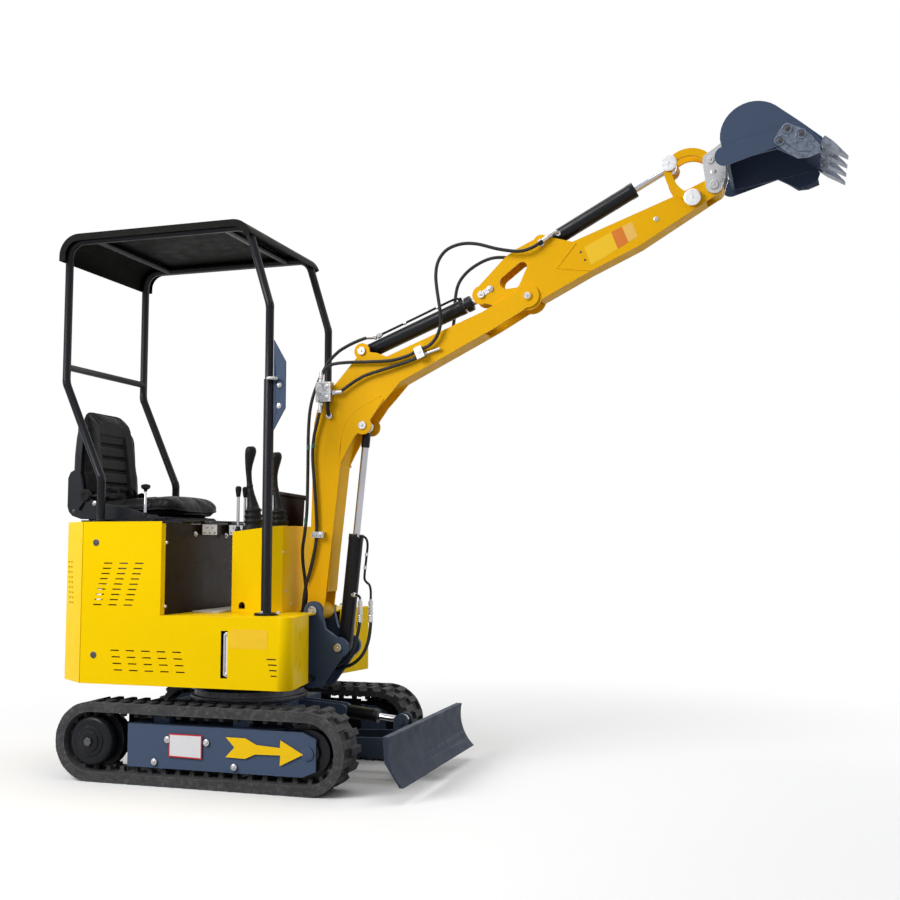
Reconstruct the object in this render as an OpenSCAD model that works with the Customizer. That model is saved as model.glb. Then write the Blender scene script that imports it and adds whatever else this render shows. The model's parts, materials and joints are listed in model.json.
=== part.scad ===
// Mini excavator of the one-tonne class: rubber tracks, dozer blade, open canopy, boom, arm and bucket.
// X points forward, Y to the machine's left and Z up. Heights start at the ground.
// Places along X are measured from the slew axis, and the machine is then set over the middle of its reach.

/* [Tracks] */
// Length of a track over its lugs
track_length = 1262; // [1150:1:1400]
// Height of a track over its lugs
track_height = 316; // [290:1:340]
// Width of a track belt
track_width = 180; // [160:1:200]
// Width over both tracks
overall_width = 930; // [900:1:1000]
// Thickness of the rubber belt without its lugs
belt_thick = 24; // [18:1:28]
// Height of the outer lugs
lug_height = 16; // [8:1:20]
// Number of lugs in each of the two rows
lug_count = 44; // [36:2:52]
// Height of the inner guide lugs
guide_height = 20; // [12:1:24]

/* [Undercarriage] */
// Height of the side frames' lower edge
frame_bottom = 67; // [60:1:80]
// Height of the side frames' upper edge
frame_top = 235; // [215:1:245]
// Rear end of the side frames behind the slew axis
frame_rear = 310; // [280:1:320]
// Front end of the side frames ahead of the slew axis
frame_front = 507; // [490:1:520]
// Width of a side frame over its two plates
frame_width = 130; // [110:1:140]
// Thickness of the side frame plates
frame_plate = 12; // [8:1:16]
// Radius of the round hub cover on a sprocket
hub_cover_r = 98; // [80:1:105]
// Height of the lower rollers' axles
roller_z = 89; // [84:1:94]
// Place of the rear roller behind the slew axis
roller_rear = 187; // [160:1:210]
// Place of the front roller ahead of the slew axis
roller_front = 167; // [140:1:190]
// Height of the centre frame's upper face
centre_top = 300; // [285:1:310]
// Radius of the slew ring
slew_r = 230; // [200:1:260]

/* [Blade] */
// Width of the blade
blade_width = 930; // [860:1:1000]
// Height of the blade's upper edge
blade_top = 240; // [220:1:260]
// Height of the blade's lower edge
blade_bottom = 58; // [45:1:70]
// Place of the blade's upper edge ahead of the slew axis
blade_x = 812; // [800:1:840]
// Forward reach of the lower lip past the upper edge
blade_lip = 56; // [45:1:66]
// Place of the push arm pivot ahead of the slew axis
blade_pivot_x = 330; // [320:1:340]
// Height of the push arm pivot
blade_pivot_z = 130; // [120:1:140]
// Place of the blade cylinder's foot pin
blade_foot_x = 434; // [425:1:445]
// Height of the blade cylinder's foot pin
blade_foot_z = 256; // [250:1:262]
// Place of the blade cylinder's eye pin
blade_eye_x = 700; // [690:1:710]
// Height of the blade cylinder's eye pin
blade_eye_z = 228; // [222:1:234]

/* [House] */
// Width over the side panels
house_width = 880; // [840:1:900]
// Height of the lower edge of the panels
skirt_z = 385; // [370:1:395]
// Height of the operator's deck
deck_z = 664; // [650:1:680]
// Height of the engine bay's upper edge
bay_top = 1040; // [1020:1:1060]
// Place of the engine bay's front behind the slew axis
bay_front = 175; // [165:1:190]
// Place where the rear corners start, behind the slew axis
corner_rear = 545; // [520:1:560]
// Place of the rear face behind the slew axis
house_rear = 690; // [670:1:705]
// Width of the flat rear face
rear_flat = 670; // [600:1:700]
// Place where the front corners start, ahead of the slew axis
corner_front = 340; // [330:1:350]
// Radius of the front corners
corner_r = 48; // [40:1:60]
// Thickness of the panels
panel_thick = 4; // [3:0.5:6]

/* [Controls] */
// Width of the control console
console_width = 380; // [340:1:400]
// Place of the console's rear face ahead of the slew axis
console_rear = 8; // [0:1:20]
// Depth of the console
console_depth = 212; // [190:1:230]
// Height of the console's upper face at the rear
console_top = 999; // [970:1:1010]
// Rise of the console's upper face towards the front
console_rise = 26; // [10:1:35]
// Distance between the joysticks
joystick_gap = 248; // [220:1:270]
// Height of the joysticks' tops
joystick_top = 1362; // [1300:1:1400]

/* [Canopy] */
// Distance between the two hoops
hoop_gap = 598; // [580:1:610]
// Radius of the canopy tube
tube_r = 17; // [15:0.5:19]
// Radius of the sleeves at the front feet
sleeve_r = 21; // [20:0.5:24]
// Height of the roof
roof_top = 2286; // [2200:1:2350]
// Width of the roof sheet
roof_width = 690; // [670:1:720]
// Place of the front feet ahead of the slew axis
post_front = 222; // [215:1:235]
// Place of the rear feet behind the slew axis
post_rear = 558; // [550:1:566]
// Place of the upper rear posts behind the slew axis
post_upper_rear = 746; // [735:1:755]

/* [Seat] */
// Width of the seat
seat_width = 430; // [400:1:460]
// Place of the seat's rear behind the slew axis
seat_rear = 787; // [770:1:795]
// Place of the cushion's front behind the slew axis
seat_front = 258; // [240:1:275]
// Height of the cushion's upper face
cushion_top = 1150; // [1135:1:1165]
// Height of the seat back
seat_top = 1530; // [1480:1:1560]

/* [Boom] */
// Place of the boom's foot pin ahead of the slew axis
boom_foot_x = 326; // [316:1:336]
// Height of the boom's foot pin
boom_foot_z = 671; // [661:1:681]
// Distance from the foot pin to the arm pivot
boom_length = 1574; // [1500:1:1650]
// Width of the boom over its side plates
boom_width = 108; // [106:0.5:110]
// Thickness of the boom's and arm's plates
plate_thick = 8; // [6:0.5:9]

/* [Arm] */
// Distance from the arm pivot to the bucket pin
arm_length = 837; // [780:1:900]
// Width of the arm over its side plates
arm_width = 90; // [88:0.5:91]

/* [Bucket] */
// Width of the bucket
bucket_width = 380; // [320:1:420]
// Distance from the bucket pin to the bend before its cutting edge
bucket_reach = 362; // [345:1:380]
// Thickness of the bucket's plates
bucket_plate = 10; // [8:0.5:12]
// Number of teeth
tooth_count = 4; // [3:1:5]
// Length of a tooth beyond the cutting edge
tooth_length = 118; // [100:1:140]

/* [Cylinders] */
// Radius of the cylinder barrels
barrel_r = 31; // [28:0.5:33]
// Radius of the cylinder rods
rod_r = 15; // [13:0.5:17]

/* [Hoses] */
// Radius of the hydraulic hoses
hose_r = 7; // [5:0.5:8]

/* [Hidden] */
$fn = 48;

// Colours
house_yellow = "#FFD21A";
boom_yellow = "#F0B41E";
slate = "#4A5670";
dark_steel = "#25272B";
rubber = "#2E2F31";
chrome = "#D8DADC";
vinyl = "#1B1B1D";
mat_grey = "#8C8F92";

// Common sizes: cut overrun, running gaps and proud pins
cut = 5;
pin_gap = 0.1;
side_gap = 0.5;
run_gap = 0.4;
pin_proud = 6;

// Tracks
loop_r = track_height / 2 - lug_height;
loop_a = (track_length - track_height) / 2;
loop_straight = 2 * loop_a;
loop_arc = PI * loop_r;
loop_round = 2 * loop_straight + 2 * loop_arc;
track_y = (overall_width - track_width) / 2;
lug_pitch = loop_round / lug_count;
lug_share = 0.55;
lug_top_share = 0.36;
guide_share = 0.4;
guide_top_share = 0.24;
guide_row_in = 24;
guide_row_out = 46;
guide_gap = 4;
wheel_half = guide_row_in - guide_gap;
wheel_r = loop_r - belt_thick - run_gap;

// Undercarriage
axle_r = 14;
hub_r = 62;
hub_cover_thick = 20;
hub_dome = 8;
hub_dome_share = 0.86;
hub_nut_r = 13;
hub_nut_length = 24;
hub_step_share = 0.6;
hub_step = 7;
idler_rim_share = 0.72;
idler_axle_r = 20;
roller_r = roller_z - lug_height - belt_thick - run_gap;
roller_rim_share = 0.55;
roller_gap = 4;
pad_length = 70;
pad_half = 16;
frame_chamfer = 56;
frame_nose = 24;
centre_half_x = 250;
centre_half_y = 190;
centre_bottom = 110;
centre_plate = 12;
beam_x = 170;
beam_half = 55;
beam_bottom = 125;
beam_top = 215;
ring_drop = 42;
ring_z = skirt_z - ring_drop;
ring_lip = 16;
swing_r_share = 1.08;

// Blade
blade_plate = 26;
push_arm_y = 100;
push_arm_thick = 16;
push_arm_depth = 96;
push_arm_rise = 40;
blade_pin_r = 14;
blade_boss_r = 30;
blade_ear_thick = 14;
blade_barrel_r = 28;
blade_rod_r = 14;
blade_eye_r = 26;
blade_eye_half = 18;
cross_beam = 36;
foot_web = 108;
blade_back_share = 0.7;
blade_toe_share = 0.6;

// House
house_half = house_width / 2;
cheek_in = 165;
cheek_sweep = 40;
platform_thick = 20;
platform_front = 290;
bracket_bay = 84;
deck_thick = 8;
mat_thick = 8;
mat_margin = 30;
flange = 32;
rail_thick = 8;
lid_half = 262;
lid_gap = 6;
engine_half = 190;
engine_rear = 560;
engine_front = 240;
engine_top = 880;
counter_thick = 100;
counter_top = 560;
counter_half = 300;
louvre_length = 39;
louvre_height = 5;
upper_rows = 9;
upper_cols = 3;
upper_x = -439;
upper_z = 871;
upper_step_x = 72;
upper_step_z = 21;
upper_slant = 6;
lower_rows = 4;
lower_cols = 5;
lower_x = -400;
lower_z = 521;
lower_step_x = 71;
lower_step_z = 26;
lower_slant = 6;
front_slots = 4;
front_x = 297;
front_z = 505;
front_step_z = 21;
rear_cols = 6;
chamfer_slot = 18;
chamfer_slot_in = 118;
chamfer_slot_step = 32;
chamfer_slot_slant = 3;
slit_y = 300;
slit_width = 7;
slit_height = 30;
slit_zs = [455, 570];
gauge_x = 113;
gauge_z = 426;
gauge_height = 184;
gauge_width = 30;

// Boom bracket
bracket_thick = 20;
bracket_gap = 3;
bracket_in = boom_width / 2 + bracket_gap;
bracket_out = bracket_in + bracket_thick;
foot_pin_r = 20;
foot_lobe_r = 40;
cyl_lobe_r = 42;
bracket_height = 346;

// Controls
console_chamfer = 40;
console_chamfer_x = 37;
hatch_x = 56;
hatch_z = 695;
hatch_r = 14;
guard_points = [[45, 950], [150, 950], [160, 1150], [22, 1172]];
guard_bar = [[-8, 1180], [168, 1152]];
guard_bar_r = 11;
joystick_x = 55;
boot_r = 34;
boot_top_r = 14;
boot_height = 84;
stick_r = 7;
grip_r = 17;
grip_height = 150;
lever_x = 17;
lever_y = 98;
lever_step = 62;
lever_collar_r = 8;
lever_r = 6;
lever_top = 1192;
knob_r = 13;
throttle_x = -338;
throttle_y = 300;
throttle_top = 1200;
throttle_r = 5;
throttle_knob_r = 17;
throttle_knob_thick = 14;
throttle_base_r = 20;
throttle_base_height = 18;

// Canopy
hoop_y = hoop_gap / 2;
bend_r = 70;
bend_swell = 0.6;
cross_tube_in = 60;
front_bend_z = 1925;
rear_bend_z = 1643;
rear_low_z = 1225;
crossbar_z = 1713;
foot_plate_r = 48;
foot_plate_thick = 10;
sleeve_top = 1618;
sheet = 4;
roof_lip = 26;
roof_rear_z = 2172;
plate_top = 1780;
plate_low = 1406;
plate_out = 75;
plate_sheet = 8;
plate_slope = 92;
plate_hole_r = 6.5;
plate_hole_top = 1593;
plate_hole_step = 86;
plate_hole_x = 262;

// Seat
lid_thick = 10;
hinge_x = -168;
hinge_drop = 2;
hinge_z = bay_top - hinge_drop;
leaf_low_share = 6;
leaf_share = 4.5;
hinge_r = 8;
hinge_half = 35;
shell_thick = 16;
shell_side = 14;
cushion_gap = 0.3;
back_thick = 96;
back_lean = 22;
seat_round = 70;
nose_r = 40;
back_low = 1100;

// Boom
boom_half = boom_width / 2;
boom_inner = boom_half - plate_thick;
tip_shares = [0.5845, 0.8113];
boom_rear_shares = [[-0.021, 0.012], [-0.013, 0.270], [-0.008, 0.499], [0.000, 0.535], [0.027, 0.576],
    [0.072, 0.626]];
boom_top_shares = [[0.172, 0.684], [0.200, 0.673], [0.464, 0.777]];
boom_under_shares = [[0.493, 0.731], [0.238, 0.604], [0.201, 0.563]];
boom_front_shares = [[0.110, 0.463], [0.069, 0.386], [0.051, 0.224], [0.026, 0.000]];
boom_web_shares = [[0.036, 0.050], [0.051, 0.224], [0.069, 0.386], [0.105, 0.505], [0.160, 0.568],
    [0.238, 0.604], [0.470, 0.720]];
boom_back_web_shares = [[-0.018, 0.050], [-0.013, 0.270], [-0.008, 0.499], [0.000, 0.535], [0.027, 0.576],
    [0.072, 0.626], [0.104, 0.650]];
boom_top_web_shares = [[0.178, 0.682], [0.200, 0.673], [0.455, 0.7735]];
boom_foot_lobe_share = 0.0254;
boom_tip_lobe_share = 0.030;
boom_eye_lobe_share = 0.0242;
boom_bracket_lobe_share = 0.0216;
eye_shares = [0.1328, 0.4911];
stick_foot_shares = [0.129, 0.691];
tip_corner_shares = [[-0.333, 0.800], [0.200, -0.867]];
doubler_shares = [[0.0673, 0.3856], [0.0737, 0.4701], [0.0978, 0.528], [0.1328, 0.5559], [0.160, 0.5775],
    [0.193, 0.560], [0.150, 0.500], [0.110, 0.463]];
doubler_thick = 3;
boom_pin_r = 16;
tip_pin_r = 18;

// Arm
arm_half = arm_width / 2;
arm_inner = arm_half - plate_thick;
arm_eye_shares = [-0.235, 0.022];
arm_tip_shares = [0.888, 0.461];
lever_pivot_shares = [0.789, 0.410];
lever_pin_shares = [0.681, 0.584];
tool_foot_shares = [0.067, 0.256];
arm_side_shares = [[-0.222, -0.020], [-0.050, -0.066], [0.025, -0.040], [0.302, 0.100], [0.541, 0.208],
    [0.905, 0.424], [0.870, 0.500], [0.705, 0.429], [0.220, 0.251], [0.125, 0.278], [0.067, 0.293],
    [-0.057, 0.237], [-0.111, 0.203], [-0.252, 0.062]];
arm_low_web_shares = [[0.060, -0.022], [0.302, 0.100], [0.541, 0.208], [0.850, 0.391]];
arm_top_web_shares = [[0.840, 0.482], [0.705, 0.429], [0.270, 0.2694]];
arm_back_web_shares = [[0.020, 0.271], [-0.057, 0.237], [-0.111, 0.203], [-0.200, 0.112]];
arm_pivot_lobe_share = 0.068;
arm_tube_share = 0.0453;
arm_eye_lobe_share = 0.046;
arm_foot_lobe_share = 0.042;
arm_tip_lobe_share = 0.041;
arm_hole_shares = [[-0.1075, 0.0765], [-0.0287, 0.148], [-0.061, 0.0657]];
arm_hole_r_shares = [0.0335, 0.024, 0.019];
arm_pin_r = 14;
cap_r = 24;

// Bucket linkage
lever_thick = 10;
lever_gap = 1;
lever_in = arm_half + lever_gap;
link_in = 30;
link_out = 42;
lever_bow = 34;
link_bow = 46;
bar_half = 15;
bar_lobe_r = 26;
bar_steps = 12;

// Bucket
bucket_half = bucket_width / 2;
bend_shares = [0.881, 0.472];
lip_shares = [1.1014, 0.2768];
cutter_shares = [[0.742, 0.455], [0.890, 0.445], [1.024, 0.321], [1.093, 0.235], [1.060, 0.147],
    [0.861, 0.081], [0.651, 0.205], [0.629, 0.307]];
cutter_thick = 8;
mouth_shares = [0.155, 0.118];
pocket_shares = [0.047, 0.344];
pocket_gap = 8;
round_shares = [0.445, 0.376];
round_share = 0.354;
round_from = 182;
round_to = 54;
round_steps = 14;
link_pin_shares = [-0.030, 0.273];
tooth_shares = [0.757, -0.653];
tooth_neck_share = 0.35;
tooth_half = 24;
tooth_thick = 26;
ear_in = arm_half + lever_gap;
ear_thick = 12;
ear_lobe_r = 32;
bucket_pin_r = 16;

// Cylinders
barrel_eye_r = 30;
rod_eye_r = 26;
eye_half = 22;
gland_r_share = 1.03;
gland_length = 26;
blade_barrel_share = 0.598;
blade_rod_share = 0.673;
boom_barrel_share = 0.507;
boom_rod_share = 0.604;
arm_barrel_share = 0.839;
arm_rod_share = 0.857;
tool_barrel_share = 0.729;
tool_rod_share = 0.789;
barrel_wall = 6;
barrel_floor = 14;
piston_share = 0.055;

// Hoses: points [x, y, z] from the slew axis, laid by hand
hose_sides = 8;
hose_steps = 2;
block_x = 336;
block_z = 1545;
block_size = [68, 38, 84];
clamp_c = [794, 1735];
clamp_tilt = 22;
clamp_size = [36, 32, 50];
strap_x = 318;
strap_z = 974;
strap_size = [54, 26, 26];
strap_hole_x = 335;
strap_hole_y = -66;
strap_ease = 2;
run_upper_points = [[352, -73, 1630.3], [352, -73, 1656], [370, -73, 1684], [412, -73, 1700],
    [482, -73, 1708], [575, -73, 1708], [667, -72, 1708], [735, -70, 1724.1], [772.2, -70, 1739.1]];
run_lower_points = [[405.6, -73, 1583], [426, -73, 1583], [454, -73, 1606], [492, -73, 1633],
    [559, -73, 1656], [650, -72, 1676], [744, -70, 1702], [781.2, -70, 1717]];
loop_right_points = [[806.8, -70, 1753], [837, -71, 1766], [866, -73, 1797], [883, -75, 1845],
    [882, -76, 1905], [868, -76, 2000], [864, -76, 2062], [876, -76, 2116], [912, -76, 2158],
    [972, -76, 2177], [1040, -76, 2172], [1130, -75, 2144], [1215, -72, 2129], [1270, -68, 2141],
    [1312, -61, 2168], [1345, -53, 2193]];
loop_left_points = [[806.8, 70, 1753], [837, 71, 1766], [868, 73, 1798], [889, 75, 1850], [898, 76, 1915],
    [902, 76, 1990], [917, 76, 2050], [954, 76, 2096], [1008, 76, 2130], [1061, 75, 2147], [1114, 75, 2147],
    [1170, 74, 2136], [1225, 72, 2130], [1270, 68, 2141], [1312, 61, 2168], [1345, 53, 2193]];
foot_rear_points = [[200, -26, 561.5], [200, -26, 586], [226, -26, 614], [254, -26, 634], [270, -26, 664],
    [274, -26, 710], [266, -26, 800], [254, -26, 880], [254, -26, 930], [266, -26, 1005], [273, -26, 1100],
    [274, -26, 1260], [275, -26, 1430], [285, -26, 1540], [315, -26, 1632], [360, -26, 1715],
    [403, -26, 1760], [446, -26, 1786], [500, -26, 1808], [545, -26, 1820], [586, -26, 1821]];
foot_side_points = [[352, -73, 1543.6], [352, -73, 1514], [334, -72, 1460], [319, -70, 1395],
    [315, -69, 1320], [321, -68, 1230], [330, -67, 1125], [335, -66, 1040], [335, -66, 987],
    [328, -66, 925], [306, -66, 842], [283, -60, 782], [273, -48, 725], [270, -46, 670], [254, -46, 634],
    [226, -46, 614], [200, -46, 586], [200, -46, 561.5]];
lift_rear_points = [[516, -22, 667], [515, -22, 632], [509, -22, 590], [498, -22, 546], [480, -22, 502],
    [451, -22, 466], [408, -22, 448], [340, -22, 446], [270, -22, 450], [210.6, -22, 450]];
lift_front_points = [[556, -4, 668], [556, -4, 613], [546, -4, 545], [520, -4, 488], [474, -4, 448],
    [412, -4, 430], [340, -4, 426], [270, -4, 430], [210.6, -4, 430]];

hinge_right_y = 85;
hinge_left_y = 150;
mat_half = 240;
deck_front = 256;
rear_foot_r = 30;
crossbar_share = 0.85;
bracket_rear = 190;
bracket_rear_top = 560;
bracket_shares = [[-0.072, -0.913], [0.110, -0.913], [0.390, -0.530], [0.390, -0.360], [0.162, -0.214],
    [0.110, -0.020], [-0.115, 0.000]];
ear_shares = [[0.088, -0.010], [0.130, 0.120], [0.105, 0.470], [-0.060, 0.355], [-0.116, 0.260],
    [-0.086, -0.010]];

// Pin places as [x, z] pairs
boom_foot = [boom_foot_x, boom_foot_z];
boom_cyl_dx = 115;
boom_cyl_dz = -149;
boom_cyl_foot = boom_foot + [boom_cyl_dx, boom_cyl_dz];
boom_eye = boom_foot + boom_length * eye_shares;
stick_foot = boom_foot + boom_length * stick_foot_shares;
arm_pivot = boom_foot + boom_length * tip_shares;
arm_eye = arm_pivot + arm_length * arm_eye_shares;
tool_foot = arm_pivot + arm_length * tool_foot_shares;
lever_pivot = arm_pivot + arm_length * lever_pivot_shares;
lever_pin = arm_pivot + arm_length * lever_pin_shares;
bucket_pin = arm_pivot + arm_length * arm_tip_shares;
link_pin = bucket_pin + bucket_reach * link_pin_shares;
bend = bucket_pin + bucket_reach * bend_shares;
lip = bucket_pin + bucket_reach * lip_shares;
tooth_tip = lip + tooth_length * tooth_shares;
blade_pivot = [blade_pivot_x, blade_pivot_z];
blade_foot = [blade_foot_x, blade_foot_z];
blade_eye = [blade_eye_x, blade_eye_z];
slew_x = (seat_rear - tooth_tip[0]) / 2;

// Heights that follow from others
platform_top = skirt_z + platform_thick;
rail_z = roof_top - sheet - run_gap - bend_swell - tube_r;
front_corner_x = 117;
front_turn = atan2(rail_z - front_bend_z, post_front - front_corner_x);
roof_r = bend_r + tube_r + bend_swell + run_gap;
roof_rear_c = [-post_upper_rear + bend_r, rail_z - bend_r];
roof_front_c = [front_corner_x - bend_r * tan(front_turn / 2), rail_z - bend_r];
hoop_path = [[post_front, sleeve_top - cut], [post_front, front_bend_z], [front_corner_x, rail_z],
    [-post_upper_rear, rail_z], [-post_upper_rear, rear_bend_z], [-post_rear, rear_low_z],
    [-post_rear, bay_top]];

// Moves a part from the slew axis to the middle of the machine's reach
module placed() {
    translate([slew_x, 0, 0])
        children();
}

// A box and a flat rectangle of a size from their lowest corner
module box(corner, size) {
    translate(corner)
        cube(size);
}
module rectangle(corner, size) {
    translate(corner)
        square(size);
}

// A side view outline drawn out across the machine from one Y to another
module slab(y0, y1) {
    translate([0, y1, 0])
        rotate([90, 0, 0])
            linear_extrude(height = y1 - y0)
                children();
}

// The same outline on both sides of the middle
module pair(y0, y1) {
    slab(y0, y1)
        children();
    slab(-y1, -y0)
        children();
}

// A round disc in the side view
module disc(p, r) {
    translate(p)
        circle(r = r);
}

// Right side shapes, mirrored to the left where side is 1
module sided(side) {
    mirror([0, side > 0 ? 1 : 0, 0])
        children();
}

// Outline tools
function share_points(shares, size, from) = [for (s = shares) from + s * size];
function left_normal(a, b) = [a[1] - b[1], b[0] - a[0]] / norm(b - a);
function corner_normal(p, i) =
    let (n = left_normal(p[i - 1], p[i]) + left_normal(p[i], p[i + 1]))
    n * 2 / (n * n);
function path_normal(p, i) =
    i == 0 ? left_normal(p[0], p[1])
    : i == len(p) - 1 ? left_normal(p[i - 1], p[i])
    : corner_normal(p, i);
function parallel(p, t) = [for (i = [0 : len(p) - 1]) p[i] + t * path_normal(p, i)];
function reversed(p) = [for (i = [len(p) - 1 : -1 : 0]) p[i]];
function arc_points(c, r, a0, a1, n) =
    [for (i = [0 : n]) let (a = a0 + (a1 - a0) * i / n) c + r * [cos(a), sin(a)]];
function bow_radius(p, q, bow) = (pow(norm(q - p) / 2, 2) + bow * bow) / (2 * bow);
function bow_centre(p, q, bow) = (p + q) / 2 - left_normal(p, q) * (bow_radius(p, q, bow) - bow);
function heading(v) = atan2(v[1], v[0]);
function bow_points(p, q, bow, off, n) =
    let (c = bow_centre(p, q, bow), half = asin(norm(q - p) / 2 / bow_radius(p, q, bow)))
    let (mid = heading(left_normal(p, q)))
    arc_points(c, bow_radius(p, q, bow) + off, mid + half, mid - half, n);

// A band of even thickness to the left of a path
module band(path, t) {
    polygon(concat(path, reversed(parallel(path, t))));
}

// A flat bar that bows to the left of the way from p to q
module bowed_bar(p, q, bow) {
    polygon(concat(bow_points(p, q, bow, bar_half, bar_steps),
        reversed(bow_points(p, q, bow, -bar_half, bar_steps))));
    disc(p, bar_lobe_r);
    disc(q, bar_lobe_r);
}

// A round tube along a path in the side view, with round bends
function turn_of(p, i) =
    let (a = heading(p[i] - p[i - 1]), b = heading(p[i + 1] - p[i]))
    (b - a + 540) % 360 - 180;
function bend_cut(p, i, br) = br * tan(abs(turn_of(p, i)) / 2);
function straight_end(p, i, br) = i == 0 || i == len(p) - 1 ? 0 : bend_cut(p, i, br) - cut;
module straight_tube(a, b, r) {
    translate([a[0], 0, a[1]])
        rotate([0, 90 - heading(b - a), 0])
            cylinder(r = r, h = norm(b - a));
}
module tube_bend(p, i, r, br) {
    a = heading(p[i] - p[i - 1]);
    turn = turn_of(p, i);
    side = turn > 0 ? 1 : -1;
    start = p[i] - bend_cut(p, i, br) * [cos(a), sin(a)];
    centre = start + side * br * [-sin(a), cos(a)];
    translate([centre[0], 0, centre[1]])
        rotate([90, 0, 0])
            rotate([0, 0, side > 0 ? a - 90 : a + 90 + turn])
                rotate_extrude(angle = abs(turn))
                    translate([br, 0])
                        circle(r = r + bend_swell);
}
module bent_tube(p, r, br) {
    for (i = [0 : len(p) - 2]) {
        way = (p[i + 1] - p[i]) / norm(p[i + 1] - p[i]);
        straight_tube(p[i] + way * straight_end(p, i, br), p[i + 1] - way * straight_end(p, i + 1, br), r);
    }
    for (i = [1 : len(p) - 2])
        tube_bend(p, i, r, br);
}

// Track loop: a point at a distance along the belt's outer face, raised by h
function loop_point(s, h) =
    let (u = (s + loop_round) % loop_round, middle = track_height / 2, r = loop_r + h)
    u < loop_straight ? [u - loop_a, middle - r]
    : u < loop_straight + loop_arc ? let (t = (u - loop_straight) / loop_r * 180 / PI - 90)
        [loop_a + r * cos(t), middle + r * sin(t)]
    : u < 2 * loop_straight + loop_arc ? [loop_a - (u - loop_straight - loop_arc), middle + r]
    : let (t = (u - 2 * loop_straight - loop_arc) / loop_r * 180 / PI + 90)
        [-loop_a + r * cos(t), middle + r * sin(t)];
function toothed_points(shift, root, tip, root_share, top_share) =
    [for (i = [0 : lug_count - 1])
        each let (s = (i + shift) * lug_pitch)
        [loop_point(s - root_share / 2 * lug_pitch, root), loop_point(s - top_share / 2 * lug_pitch, tip),
        loop_point(s + top_share / 2 * lug_pitch, tip), loop_point(s + root_share / 2 * lug_pitch, root)]];
module loop_outline(r) {
    disc([-loop_a, track_height / 2], r);
    disc([loop_a, track_height / 2], r);
    rectangle([-loop_a, track_height / 2 - r], [loop_straight, 2 * r]);
}
module lug_row(shift) {
    difference() {
        polygon(toothed_points(shift, -belt_thick / 4, lug_height, lug_share, lug_top_share));
        loop_outline(loop_r - belt_thick / 2);
    }
}
module guide_row() {
    difference() {
        loop_outline(loop_r - belt_thick / 4);
        polygon(toothed_points(0, -belt_thick / 2, -belt_thick - guide_height, guide_share, guide_top_share));
    }
}
module track(side) {
    color(rubber)
        sided(side) {
            slab(-track_y - track_width / 2, -track_y + track_width / 2)
                difference() {
                    loop_outline(loop_r);
                    loop_outline(loop_r - belt_thick);
                }
            slab(-track_y - track_width / 2, -track_y)
                lug_row(0);
            slab(-track_y, -track_y + track_width / 2)
                lug_row(0.5);
            for (row = [-guide_row_out, guide_row_in])
                slab(-track_y + row, -track_y + row + guide_row_out - guide_row_in)
                    guide_row();
        }
}
module track_right() track(-1);
module track_left() track(1);

// Round things whose axis runs across the machine, from y0 to y1
module shaft(p, r, y0, y1) {
    slab(y0, y1)
        disc(p, r);
}
sprocket_c = [-loop_a, track_height / 2];
idler_c = [loop_a, track_height / 2];
frame_out = -track_y - frame_width / 2;
frame_in = -track_y + frame_width / 2;
module sprocket(side) {
    cover_y = -track_y - guide_row_out - run_gap;
    color(slate)
        sided(side) {
            shaft(sprocket_c, wheel_r, -track_y - wheel_half, -track_y + wheel_half);
            shaft(sprocket_c, hub_r, cover_y, frame_in - frame_plate);
            shaft(sprocket_c, hub_cover_r, cover_y - hub_cover_thick, cover_y);
            translate([sprocket_c[0], cover_y - hub_cover_thick, sprocket_c[1]])
                rotate([90, 0, 0])
                    cylinder(r1 = hub_cover_r, r2 = hub_cover_r * hub_dome_share, h = hub_dome);
            shaft(sprocket_c, hub_cover_r * hub_step_share, cover_y - hub_cover_thick - hub_dome - hub_step,
                cover_y);
            shaft(sprocket_c, hub_nut_r, cover_y - hub_cover_thick - hub_dome - hub_nut_length, cover_y);
        }
}
module sprocket_right() sprocket(-1);
module sprocket_left() sprocket(1);
module idler(side) {
    color(dark_steel)
        sided(side) {
            shaft(idler_c, wheel_r, -track_y - wheel_half, -track_y + wheel_half);
            shaft(idler_c, wheel_r * idler_rim_share, -track_y - guide_row_out, -track_y + guide_row_out);
            shaft(idler_c, idler_axle_r, frame_out + frame_plate, frame_in - frame_plate);
        }
}
module idler_right() idler(-1);
module idler_left() idler(1);
module rollers(side) {
    rim = guide_row_out - guide_row_in - 2 * roller_gap;
    color(dark_steel)
        sided(side)
            for (x = [-roller_rear, roller_front]) {
                shaft([x, roller_z], roller_r, -track_y - wheel_half, -track_y + wheel_half);
                for (y = [frame_out + frame_plate + roller_gap, frame_in - frame_plate - roller_gap - rim])
                    shaft([x, roller_z], roller_r * roller_rim_share, y, y + rim);
                shaft([x, roller_z], axle_r, frame_out + frame_plate, frame_in - frame_plate);
            }
}
module rollers_right() rollers(-1);
module rollers_left() rollers(1);

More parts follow.
